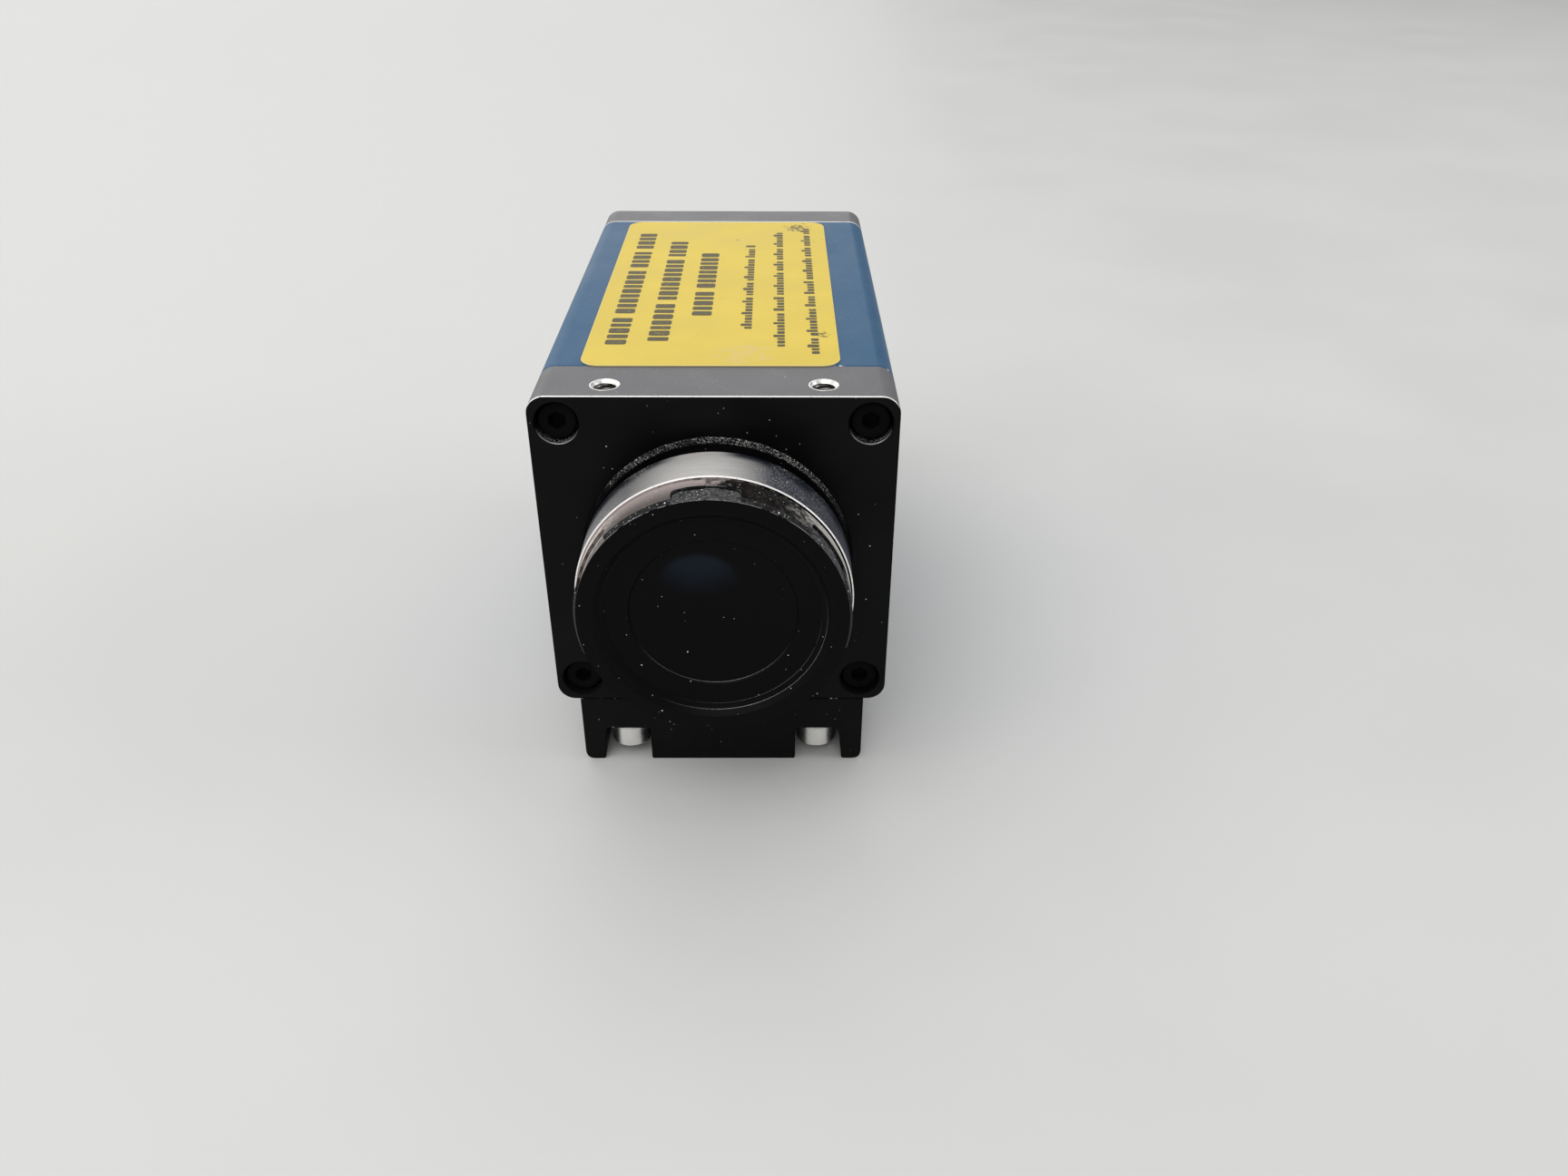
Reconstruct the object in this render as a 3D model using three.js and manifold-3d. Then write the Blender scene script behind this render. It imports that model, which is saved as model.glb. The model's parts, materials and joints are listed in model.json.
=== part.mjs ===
// Compact C-mount digital camera in a 44 mm square housing, standing on a screwed-on tripod foot,
// with a threaded dust cap closing its lens mount.
//
// Millimetres, +Z up, lens pointing along -Y, +X to the right as seen from the front. Left and right
// in names are as seen from the front too.
// The pieces are drawn in the housing's own frame: Y = 0 on the housing's front face, Z = 0 on its
// underside, X = 0 on its middle plane. The last lines lift the whole camera onto its foot and
// centre it, so that the part's origin is the middle of its footprint.

import * as THREE from 'three';
import { mergeVertices } from 'three/addons/utils/BufferGeometryUtils.js';
import Module from 'manifold-3d';

const wasm = await Module();
wasm.setup();

// ---------------------------------------------------------------- driving dimensions

const BODY_SIDE = 44; // width and height of the square housing
const BODY_LENGTH = 81.1; // front face to rear face
const CORNER_RADIUS = 2.3; // long edges of the housing
const SHELL_WALL = 2.2;
const FRONT_FLANGE_DEPTH = 9.5;
const REAR_PANEL_DEPTH = 6.9;
const FOOT_HEIGHT = 10.6;
const CONNECTOR_REACH = 6.8; // the round connector beyond the rear face

const SEAM = 0.1; // between faces that rest on each other
const CLEARANCE = 0.3; // around a piece that sits in a hole
const OVERRUN = 1; // how far a cutting shape runs past what it cuts

const THREAD_RADIUS = 12.7; // C-mount thread, 1 inch in diameter
const THREAD_PITCH = 25.4 / 32;
const FLANGE_FOCAL_DISTANCE = 17.526; // mounting face of the ring to the image plane
const CAP_TURNS = 4.5; // thread in engagement

const BOSS_RADIUS = 16.5; // at its front, with tapered sides
const BOSS_FOOT_RADIUS = 16.8;
const BOSS_HEIGHT = 1;
const RING_RADIUS = 16.6;
const RING_REAR = -3.4; // leaves an open groove in front of the boss
const RING_FRONT = -9.7;
const NECK_RADIUS = 14;
const NECK_REAR = 3.2;
const CAP_RADIUS = 16.25;
const CAP_FRONT = -14.1;
const GRIP_COUNT = 6;
const GRIP_WIDTH = THREE.MathUtils.degToRad(30);
const FIRST_GRIP = THREE.MathUtils.degToRad(93); // from +X towards +Z
const GRIP_LENGTH = 2.7;
const GRIP_DEPTH = 0.55;

const CORNER_SCREW_OFFSET = 18.55; // from the lens axis, both ways
const M3_OFFSET = 13; // from the middle plane: tapped holes and foot screws
const M3_SETBACK = 3.5; // from the front face
const M3_HOLE_RADIUS = 1.6;

const FOOT_WIDTH = 38.4;
const FOOT_LENGTH = 50;
const FOOT_BLOCK_WIDTH = 20;
const FOOT_CHANNEL_WIDTH = 6;
const FOOT_CHANNEL_HEIGHT = 5.4;
const FOOT_LUG_RADIUS = 2.5;
const FOOT_SCREW_SPACING = 40; // front pair to rear pair
const TRIPOD_THREADS = [
  { radius: 3.175, setback: 16 }, // 1/4-20 UNC
  { radius: 3, setback: 32 }, // M6
];
const TRIPOD_THREAD_DEPTH = 8;

const LABEL_WIDTH = 32.2;
const LABEL_LENGTH = 64.2;
const LABEL_CENTRE_X = -0.8;
const LABEL_FRONT = 9.1;
const LABEL_CORNER = 2.5;
const LABEL_THICKNESS = 0.2;

const BUS_SOCKET = {
  x: -6.6,
  width: 11.4,
  height: 7,
  corner: 1,
  wall: 0.6,
  reach: 0.8,
  base_depth: 2.4,
  tongue_width: 7.4,
  tongue_thickness: 1.5,
  tongue_setback: 1.2,
  jack_spacing: 19.8,
  jack_radius: 0.85,
};
const BUS_SOCKET_HEIGHTS = { upper: 29.5, lower: 15.5 };
const IO_CONNECTOR = {
  x: 11.6,
  z: 27.5,
  radius: 5.6,
  bore: 4.6,
  nut_radius: 7,
  nut_depth: 1.3,
  edge: 0.4,
  face: 0.8, // the pins' face beyond the rear panel
  pin_radius: 0.4,
  pin_setback: 1.4,
};
const PIN_CIRCLES = [
  { count: 9, radius: 2.9 },
  { count: 3, radius: 1.2 },
];
const STATUS_LIGHT = { x: 11.6, z: 13, radius: 1.5, reach: 0.4 };

const BOARD_THICKNESS = 1.6;
const INTERFACE_BOARD_FRONT = 71;

const TURNED_FACETS = 40; // round the lens axis
const ROD_FACETS = 16;
const SMALL_FACETS = 10;
const PIN_FACETS = 8;
const ARC_DIVISIONS = 2; // half the facets of a rounded corner

// ---------------------------------------------------------------- worked-out places

const AXIS_HEIGHT = BODY_SIDE / 2;
const HALF_SEAM = SEAM / 2;
const REAR_PANEL_FRONT = BODY_LENGTH - REAR_PANEL_DEPTH;
const IMAGE_PLANE = RING_FRONT + FLANGE_FOCAL_DISTANCE;
const INNER_HALF = BODY_SIDE / 2 - SHELL_WALL;
const SIDES = { left: -1, right: 1 };
const CORNERS = {
  upper_left: [-1, 1],
  upper_right: [1, 1],
  lower_left: [-1, -1],
  lower_right: [1, -1],
};

// ---------------------------------------------------------------- materials

function finish(color, roughness, metalness) {
  return new THREE.MeshStandardMaterial({ color, roughness, metalness });
}

const MATERIALS = {
  bluePaint: finish(0x54709a, 0.55, 0.2),
  blackAnodised: finish(0x17181a, 0.45, 0.6),
  greyAnodised: finish(0x3a3c40, 0.4, 0.7),
  blackPlastic: finish(0x101114, 0.35, 0),
  rubber: finish(0x0c0c0d, 0.9, 0),
  steel: finish(0xb9bcc0, 0.3, 1),
  blackSteel: finish(0x1d1e20, 0.4, 0.9),
  aluminium: finish(0xc4c7ca, 0.35, 1),
  yellowLabel: finish(0xecd66e, 0.5, 0),
  glass: finish(0x9fc0d8, 0.05, 0),
  ceramic: finish(0x4a4340, 0.6, 0),
  silicon: finish(0x3c3250, 0.15, 0.5),
  circuitBoard: finish(0x1f5a3a, 0.5, 0),
  chipResin: finish(0x18191b, 0.6, 0),
  thermalPad: finish(0xa8b4c4, 0.9, 0),
  socketPlastic: finish(0x1a1a1c, 0.5, 0),
  clearLight: finish(0xd8f0d8, 0.2, 0),
};

// ---------------------------------------------------------------- geometry helpers

// A closed three.js geometry as a manifold solid, with its shared vertices merged.
function toSolid(geometry) {
  const bare = geometry.clone();
  bare.deleteAttribute('normal');
  bare.deleteAttribute('uv');
  const merged = mergeVertices(bare, 1e-4);
  const corners = Array.from(merged.index.array);
  const triVerts = [];
  for (let i = 0; i < corners.length; i += 3) {
    const [a, b, c] = corners.slice(i, i + 3);
    if (a !== b && b !== c && c !== a) {
      triVerts.push(a, b, c);
    }
  }
  return new wasm.Manifold(new wasm.Mesh({
    numProp: 3,
    vertProperties: new Float32Array(merged.attributes.position.array),
    triVerts: new Uint32Array(triVerts),
  }));
}

function toGeometry(solid) {
  const { vertProperties, triVerts } = solid.getMesh();
  const indexed = new THREE.BufferGeometry();
  indexed.setAttribute('position', new THREE.BufferAttribute(vertProperties, 3));
  indexed.setIndex(new THREE.BufferAttribute(triVerts, 1));
  const flat = indexed.toNonIndexed();
  flat.computeVertexNormals();
  return flat;
}

function join(...geometries) {
  return geometries.map(toSolid).reduce((whole, next) => whole.add(next));
}

function cut(solid, ...geometries) {
  return geometries.map(toSolid).reduce((whole, next) => whole.subtract(next), solid);
}

function piece(name, shape, material) {
  const geometry = shape.isBufferGeometry ? shape : toGeometry(shape);
  const mesh = new THREE.Mesh(geometry, material);
  mesh.name = name;
  return mesh;
}

function block([x0, x1], [y0, y1], [z0, z1]) {
  const box = new THREE.BoxGeometry(x1 - x0, y1 - y0, z1 - z0);
  return box.translate((x0 + x1) / 2, (y0 + y1) / 2, (z0 + z1) / 2);
}

// A rectangle with rounded corners, centred on (x, y).
function roundedRectangle(width, height, radius, x = 0, y = 0) {
  const right = x + width / 2;
  const left = x - width / 2;
  const top = y + height / 2;
  const bottom = y - height / 2;
  const shape = new THREE.Shape();
  shape.moveTo(left + radius, bottom);
  shape.absarc(right - radius, bottom + radius, radius, -Math.PI / 2, 0);
  shape.absarc(right - radius, top - radius, radius, 0, Math.PI / 2);
  shape.absarc(left + radius, top - radius, radius, Math.PI / 2, Math.PI);
  shape.absarc(left + radius, bottom + radius, radius, Math.PI, 1.5 * Math.PI);
  return shape;
}

// An outline in X and Z, made solid from `front` to `rear` along Y.
function prism(outline, front, rear) {
  const body = new THREE.ExtrudeGeometry(outline, {
    depth: rear - front,
    bevelEnabled: false,
    curveSegments: ARC_DIVISIONS,
  });
  return body.rotateX(Math.PI / 2).translate(0, rear, 0);
}

function squarePrism(side, radius, front, rear) {
  return prism(roundedRectangle(side, side, radius, 0, AXIS_HEIGHT), front, rear);
}

function rodAlongY(radius, front, rear, x = 0, z = AXIS_HEIGHT, facets = ROD_FACETS) {
  const rod = new THREE.CylinderGeometry(radius, radius, rear - front, facets);
  return rod.translate(x, (front + rear) / 2, z);
}

function rodAlongZ(radius, bottom, top, x, y, facets = ROD_FACETS) {
  const rod = new THREE.CylinderGeometry(radius, radius, top - bottom, facets);
  return rod.rotateX(Math.PI / 2).translate(x, y, (bottom + top) / 2);
}

function rodAlongX(radius, left, right, y, z, facets = SMALL_FACETS) {
  const rod = new THREE.CylinderGeometry(radius, radius, right - left, facets);
  return rod.rotateZ(Math.PI / 2).translate((left + right) / 2, y, z);
}

// A profile of [radius, y] points turned about an axis along Y. The points run anticlockwise:
// out along the front, back along the outside, and in along the rear.
function turned(profile, x = 0, z = AXIS_HEIGHT, facets = TURNED_FACETS) {
  const points = profile.map(([radius, y]) => new THREE.Vector2(radius, y));
  if (profile[0][0] > 0) {
    points.push(points[0].clone());
  }
  return new THREE.LatheGeometry(points, facets).translate(x, 0, z);
}

function ring(inner, outer, front, rear) {
  return turned([[inner, front], [outer, front], [outer, rear], [inner, rear]]);
}

// A cap-head screw pointing along +Y from the origin of its head's front face.
function capScrew({ head_radius, head_height, shank_radius, length, socket }) {
  const head = rodAlongY(head_radius, 0, head_height, 0, 0);
  const shank = rodAlongY(shank_radius, head_height / 2, head_height + length, 0, 0, SMALL_FACETS);
  const hexagon = rodAlongY(socket / Math.sqrt(3), -1, head_height * 0.55, 0, 0, 6);
  return cut(join(head, shank), hexagon);
}

// ---------------------------------------------------------------- housing

const COUNTERBORE = { radius: 2.6, depth: 3.4 };
const CORNER_SCREW = { head_radius: 2.25, head_height: 2.5, shank_radius: 1.2, length: 12, socket: 2 };
const CORNER_HOLE_RADIUS = CORNER_SCREW.shank_radius + CLEARANCE;
const FLANGE_POCKET = { side: 31, front: 5.2, corner: 2 };
const PANEL_POCKET = { side: 33, floor: 3.5, corner: 2 };
const SET_SCREW = { radius: 1, length: 4, setback: 1.6, socket_radius: 0.75, socket_depth: 1.4 };
const THREAD_INSERT = { outer: 1.8, inner: 1.25, length: 4.5, gap: 0.15, rim: 0.1 };
const FOOT_SCREW_HOLE_DEPTH = 4.5;
const CORNER_POST_RADIUS = 3.1;
const INNER_CORNER = 1;
const FLOOR_RAIL = { width: 6, height: 3 };
const SPACER = { x: 7.5, z: 17.4, radius: 1.9, hole: 1.2, thread: 3 }; // x and z from the lens axis

function atCorners(make) {
  return Object.values(CORNERS).map(([sideX, sideZ]) => make(
    sideX * CORNER_SCREW_OFFSET,
    AXIS_HEIGHT + sideZ * CORNER_SCREW_OFFSET,
  ));
}

function atSpacers(make) {
  return Object.values(CORNERS).map(([sideX, sideZ]) => make(
    sideX * SPACER.x,
    AXIS_HEIGHT + sideZ * SPACER.z,
  ));
}

function atSides(make) {
  return Object.values(SIDES).map((side) => make(side * M3_OFFSET, side));
}

function footScrewHole(x, y) {
  return rodAlongZ(M3_HOLE_RADIUS, -OVERRUN, FOOT_SCREW_HOLE_DEPTH, x, y, SMALL_FACETS);
}

function frontFlange() {
  const rear = FRONT_FLANGE_DEPTH - HALF_SEAM;
  const beyond = rear + OVERRUN;
  const bossFront = -BOSS_HEIGHT;
  const boss = turned([
    [0, bossFront],
    [BOSS_RADIUS, bossFront],
    [BOSS_FOOT_RADIUS, 0],
    [BOSS_FOOT_RADIUS, OVERRUN],
    [0, OVERRUN],
  ]);
  const body = join(squarePrism(BODY_SIDE, CORNER_RADIUS, 0, rear), boss);
  const insertHole = THREAD_INSERT.outer + THREAD_INSERT.gap;
  const insertFloor = BODY_SIDE - THREAD_INSERT.length - THREAD_INSERT.gap;
  return cut(
    body,
    rodAlongY(
      NECK_RADIUS + CLEARANCE,
      bossFront - OVERRUN,
      FLANGE_POCKET.front + OVERRUN,
      0,
      AXIS_HEIGHT,
      TURNED_FACETS,
    ),
    squarePrism(FLANGE_POCKET.side, FLANGE_POCKET.corner, FLANGE_POCKET.front, beyond),
    ...atCorners((x, z) => rodAlongY(COUNTERBORE.radius, -OVERRUN, COUNTERBORE.depth, x, z)),
    ...atCorners((x, z) => rodAlongY(CORNER_HOLE_RADIUS, 0, beyond, x, z, SMALL_FACETS)),
    ...atSpacers((x, z) => rodAlongY(SPACER.hole, rear - SPACER.thread, beyond, x, z, SMALL_FACETS)),
    ...atSides((x) => rodAlongZ(insertHole, insertFloor, BODY_SIDE + OVERRUN, x, M3_SETBACK)),
    ...atSides((x) => footScrewHole(x, M3_SETBACK)),
    ...atSides((x, side) => rodAlongX(
      SET_SCREW.radius + CLEARANCE,
      Math.min(side * NECK_RADIUS, side * BODY_SIDE),
      Math.max(side * NECK_RADIUS, side * BODY_SIDE),
      SET_SCREW.setback,
      AXIS_HEIGHT,
    )),
  );
}

// The extruded blue housing: a square tube with a screw post in each corner and two rails on its
// floor, which give the foot's rear screws enough thread.
function bodyShell() {
  const front = FRONT_FLANGE_DEPTH + HALF_SEAM;
  const rear = REAR_PANEL_FRONT - HALF_SEAM;
  const railHalf = FLOOR_RAIL.width / 2;
  const railTop = SHELL_WALL + FLOOR_RAIL.height;
  const tube = cut(
    toSolid(squarePrism(BODY_SIDE, CORNER_RADIUS, front, rear)),
    squarePrism(2 * INNER_HALF, INNER_CORNER, front - OVERRUN, rear + OVERRUN),
  );
  const posts = atCorners((x, z) => rodAlongY(CORNER_POST_RADIUS, front, rear, x, z));
  const rails = atSides((x) => block([x - railHalf, x + railHalf], [front, rear], [SHELL_WALL / 2, railTop]));
  const profile = [...posts, ...rails].reduce((whole, next) => whole.add(toSolid(next)), tube);
  return cut(
    profile,
    ...atCorners((x, z) => (
      rodAlongY(CORNER_HOLE_RADIUS, front - OVERRUN, rear + OVERRUN, x, z, SMALL_FACETS)
    )),
    ...atSides((x) => footScrewHole(x, M3_SETBACK + FOOT_SCREW_SPACING)),
  );
}

function rearPanel() {
  const front = REAR_PANEL_FRONT + HALF_SEAM;
  const pocketRear = BODY_LENGTH - PANEL_POCKET.floor;
  const before = front - OVERRUN;
  const beyond = BODY_LENGTH + OVERRUN;
  const slots = Object.values(BUS_SOCKET_HEIGHTS).map((z) => prism(
    roundedRectangle(
      BUS_SOCKET.width + 2 * CLEARANCE,
      BUS_SOCKET.height + 2 * CLEARANCE,
      BUS_SOCKET.corner + CLEARANCE,
      BUS_SOCKET.x,
      z,
    ),
    before,
    beyond,
  ));
  const jackHoles = Object.values(BUS_SOCKET_HEIGHTS).flatMap((z) => [-0.5, 0.5].map((end) => rodAlongY(
    BUS_SOCKET.jack_radius,
    pocketRear - OVERRUN,
    beyond,
    BUS_SOCKET.x + end * BUS_SOCKET.jack_spacing,
    z,
    SMALL_FACETS,
  )));
  const lightHole = STATUS_LIGHT.radius + CLEARANCE;
  return cut(
    toSolid(squarePrism(BODY_SIDE, CORNER_RADIUS, front, BODY_LENGTH)),
    squarePrism(PANEL_POCKET.side, PANEL_POCKET.corner, before, pocketRear),
    ...atCorners((x, z) => rodAlongY(COUNTERBORE.radius, BODY_LENGTH - COUNTERBORE.depth, beyond, x, z)),
    ...atCorners((x, z) => rodAlongY(CORNER_HOLE_RADIUS, before, BODY_LENGTH, x, z, SMALL_FACETS)),
    ...slots,
    ...jackHoles,
    rodAlongY(IO_CONNECTOR.radius + CLEARANCE, before, beyond, IO_CONNECTOR.x, IO_CONNECTOR.z),
    rodAlongY(lightHole, before, beyond, STATUS_LIGHT.x, STATUS_LIGHT.z, SMALL_FACETS),
  );
}

function housing() {
  const group = new THREE.Group();
  group.add(piece('front_flange', frontFlange(), MATERIALS.greyAnodised));
  group.add(piece('body_shell', bodyShell(), MATERIALS.bluePaint));
  group.add(piece('rear_panel', rearPanel(), MATERIALS.greyAnodised));
  return group;
}

// Four screws clamp each end piece to the shell. The heads stand a little below the outer face.
function cornerScrews() {
  const group = new THREE.Group();
  const sink = COUNTERBORE.depth - CORNER_SCREW.head_height - SEAM;
  for (const [corner, [sideX, sideZ]] of Object.entries(CORNERS)) {
    const x = sideX * CORNER_SCREW_OFFSET;
    const z = AXIS_HEIGHT + sideZ * CORNER_SCREW_OFFSET;
    const front = piece(`front_screw_${corner}`, capScrew(CORNER_SCREW), MATERIALS.blackSteel);
    front.position.set(x, sink, z);
    const rear = piece(`rear_screw_${corner}`, capScrew(CORNER_SCREW), MATERIALS.blackSteel);
    rear.position.set(x, BODY_LENGTH - sink, z);
    rear.rotation.z = Math.PI;
    group.add(front, rear);
  }
  return group;
}

// Bright threaded bushes in the two M3 holes on top of the front flange.
function threadInserts() {
  const group = new THREE.Group();
  const top = BODY_SIDE - HALF_SEAM;
  const rimRadius = THREAD_INSERT.outer - THREAD_INSERT.rim;
  for (const [side, sign] of Object.entries(SIDES)) {
    const x = sign * M3_OFFSET;
    const bush = cut(
      toSolid(rodAlongZ(THREAD_INSERT.outer, top - THREAD_INSERT.length, top, x, M3_SETBACK)),
      rodAlongZ(THREAD_INSERT.inner, 0, BODY_SIDE + OVERRUN, x, M3_SETBACK),
      new THREE.CylinderGeometry(rimRadius + 0.5, rimRadius - 0.5, 1, ROD_FACETS)
        .rotateX(Math.PI / 2)
        .translate(x, M3_SETBACK, top),
    );
    group.add(piece(`top_thread_insert_${side}`, bush, MATERIALS.steel));
  }
  return group;
}

function topLabel() {
  const bottom = BODY_SIDE + SEAM;
  const sheet = new THREE.ExtrudeGeometry(
    roundedRectangle(LABEL_WIDTH, LABEL_LENGTH, LABEL_CORNER, LABEL_CENTRE_X, LABEL_FRONT + LABEL_LENGTH / 2),
    { depth: LABEL_THICKNESS, bevelEnabled: false, curveSegments: ARC_DIVISIONS },
  );
  return piece('top_label', sheet.translate(0, 0, bottom), MATERIALS.yellowLabel);
}

// ---------------------------------------------------------------- lens mount

const FILTER_BORE = 12.2;
const FILTER_SEAT = 2.4;
const FILTER_SEAT_BORE = 10.2;
const FILTER = { radius: 11.6, front: 0.3, thickness: 1 };
const RETAINER = { inner: 9.6, outer: 11.8, front: -1.4, slot_width: 1.2, slot_depth: 0.6 };
const GASKET = { inner: 10.5, outer: 11.8, front: 1.5 };
const THREAD_REAR = -4.6;
const RING_EDGE = 0.15;
const RING_LEAD_IN = 0.6;

// The ring screws into the front flange, which sets the distance to the image plane, and carries
// the C-mount thread in front and the filter seat behind.
function lensMountRing() {
  return turned([
    [RING_RADIUS - RING_EDGE, RING_FRONT],
    [RING_RADIUS, RING_FRONT + RING_EDGE],
    [RING_RADIUS, RING_REAR],
    [NECK_RADIUS, RING_REAR],
    [NECK_RADIUS, NECK_REAR],
    [FILTER_SEAT_BORE, NECK_REAR],
    [FILTER_SEAT_BORE, FILTER_SEAT],
    [FILTER_BORE, FILTER_SEAT],
    [FILTER_BORE, THREAD_REAR],
    [THREAD_RADIUS, THREAD_REAR],
    [THREAD_RADIUS, RING_FRONT + RING_LEAD_IN],
    [THREAD_RADIUS + RING_LEAD_IN, RING_FRONT],
  ]);
}

// The two grub screws in the flange's sides that lock the ring's neck.
function setScrews() {
  const group = new THREE.Group();
  const { radius, length, setback, socket_radius, socket_depth } = SET_SCREW;
  const inner = NECK_RADIUS + CLEARANCE + SEAM;
  const outer = inner + length;
  for (const [side, sign] of Object.entries(SIDES)) {
    const grub = cut(
      toSolid(rodAlongX(radius, inner, outer, setback, AXIS_HEIGHT)),
      rodAlongX(socket_radius, outer - socket_depth, outer + OVERRUN, setback, AXIS_HEIGHT, 6),
    );
    const mesh = piece(`mount_set_screw_${side}`, grub, MATERIALS.blackSteel);
    if (sign < 0) {
      mesh.rotation.z = Math.PI;
      mesh.position.y = 2 * setback;
    }
    group.add(mesh);
  }
  return group;
}

function filterStack() {
  const group = new THREE.Group();
  const acrossRing = RETAINER.outer + OVERRUN;
  const slotHalf = RETAINER.slot_width / 2;
  const spannerSlots = block(
    [-acrossRing, acrossRing],
    [RETAINER.front - OVERRUN, RETAINER.front + RETAINER.slot_depth],
    [AXIS_HEIGHT - slotHalf, AXIS_HEIGHT + slotHalf],
  );
  const retainer = cut(
    toSolid(ring(RETAINER.inner, RETAINER.outer, RETAINER.front, FILTER.front - 2 * SEAM)),
    spannerSlots,
  );
  const filterRear = FILTER.front + FILTER.thickness;
  const glass = turned([
    [0, FILTER.front],
    [FILTER.radius, FILTER.front],
    [FILTER.radius, filterRear],
    [0, filterRear],
  ]);
  const gasket = ring(GASKET.inner, GASKET.outer, GASKET.front, FILTER_SEAT - SEAM);
  group.add(piece('filter_retaining_ring', retainer, MATERIALS.blackAnodised));
  group.add(piece('ir_filter', glass, MATERIALS.glass));
  group.add(piece('filter_gasket', gasket, MATERIALS.rubber));
  return group;
}

// The screw-in dust cap: a gripped flange with a stepped, dished face and a hollow threaded plug.
const DISH = { radius: 9.87, edge: -12.5, depth: 0.75, steps: 4 };
const PLUG = { radius: 12.35, rear: RING_FRONT + CAP_TURNS * THREAD_PITCH, hollow: 10.4, web: -10.4 };
const PLUG_CHAMFER = 0.3;
const CAP_REAR = RING_FRONT - CLEARANCE;
const SEAL = { inner: 13.3, outer: 14.2, sink: 0.4 };
const SEAL_GROOVE_DEPTH = 0.7;
// The steps of the cap's face, from the dish outwards, and its chamfered rim.
const FACE_STEP = { radius: DISH.radius + 0.18, y: DISH.edge - 0.25 };
const FACE_LEDGE = { radius: THREAD_RADIUS, y: -13 };
const FACE_SLOPE = { radius: 13.36, y: -13.4 };
const RIM = { inner: 14.05, chamfer: 0.35 };

function dustCap() {
  const dish = [];
  for (let step = 0; step <= DISH.steps; step += 1) {
    const share = step / DISH.steps;
    dish.push([DISH.radius * share, DISH.edge + DISH.depth * (1 - share * share)]);
  }
  const profile = [
    ...dish,
    [FACE_STEP.radius, FACE_STEP.y],
    [FACE_LEDGE.radius, FACE_LEDGE.y],
    [FACE_SLOPE.radius, FACE_SLOPE.y],
    [RIM.inner, CAP_FRONT],
    [CAP_RADIUS - RIM.chamfer, CAP_FRONT],
    [CAP_RADIUS, CAP_FRONT + RIM.chamfer],
    [CAP_RADIUS, CAP_REAR],
    [SEAL.outer + CLEARANCE, CAP_REAR],
    [SEAL.outer + CLEARANCE, CAP_REAR - SEAL_GROOVE_DEPTH],
    [SEAL.inner - CLEARANCE, CAP_REAR - SEAL_GROOVE_DEPTH],
    [SEAL.inner - CLEARANCE, CAP_REAR],
    [PLUG.radius, CAP_REAR],
    [PLUG.radius, PLUG.rear - PLUG_CHAMFER],
    [PLUG.radius - PLUG_CHAMFER, PLUG.rear],
    [PLUG.hollow, PLUG.rear],
    [PLUG.hollow, PLUG.web],
    [0, PLUG.web],
  ];
  const grips = [];
  for (let grip = 0; grip < GRIP_COUNT; grip += 1) {
    const middle = FIRST_GRIP + grip * (2 * Math.PI / GRIP_COUNT);
    const start = middle - GRIP_WIDTH / 2;
    const end = middle + GRIP_WIDTH / 2;
    const sector = new THREE.Shape();
    sector.absarc(0, AXIS_HEIGHT, CAP_RADIUS + OVERRUN, start, end, false);
    sector.absarc(0, AXIS_HEIGHT, CAP_RADIUS - GRIP_DEPTH, end, start, true);
    grips.push(prism(sector, CAP_FRONT - OVERRUN, CAP_FRONT + GRIP_LENGTH));
  }
  return cut(toSolid(turned(profile)), ...grips);
}

function lensMount() {
  const group = new THREE.Group();
  const seal = ring(SEAL.inner, SEAL.outer, CAP_REAR - SEAL.sink, RING_FRONT - SEAM);
  group.add(piece('lens_mount_ring', lensMountRing(), MATERIALS.greyAnodised));
  group.add(setScrews(), filterStack());
  group.add(piece('cap_seal', seal, MATERIALS.rubber));
  group.add(piece('dust_cap', dustCap(), MATERIALS.blackPlastic));
  return group;
}

// ---------------------------------------------------------------- tripod foot

const FOOT_SCREW = { head_radius: 2.75, head_height: 3, shank_radius: 1.25, length: 9, socket: 2.5 };
const WASHER = { inner: M3_HOLE_RADIUS, outer: 3, thickness: 0.5 };

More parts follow.
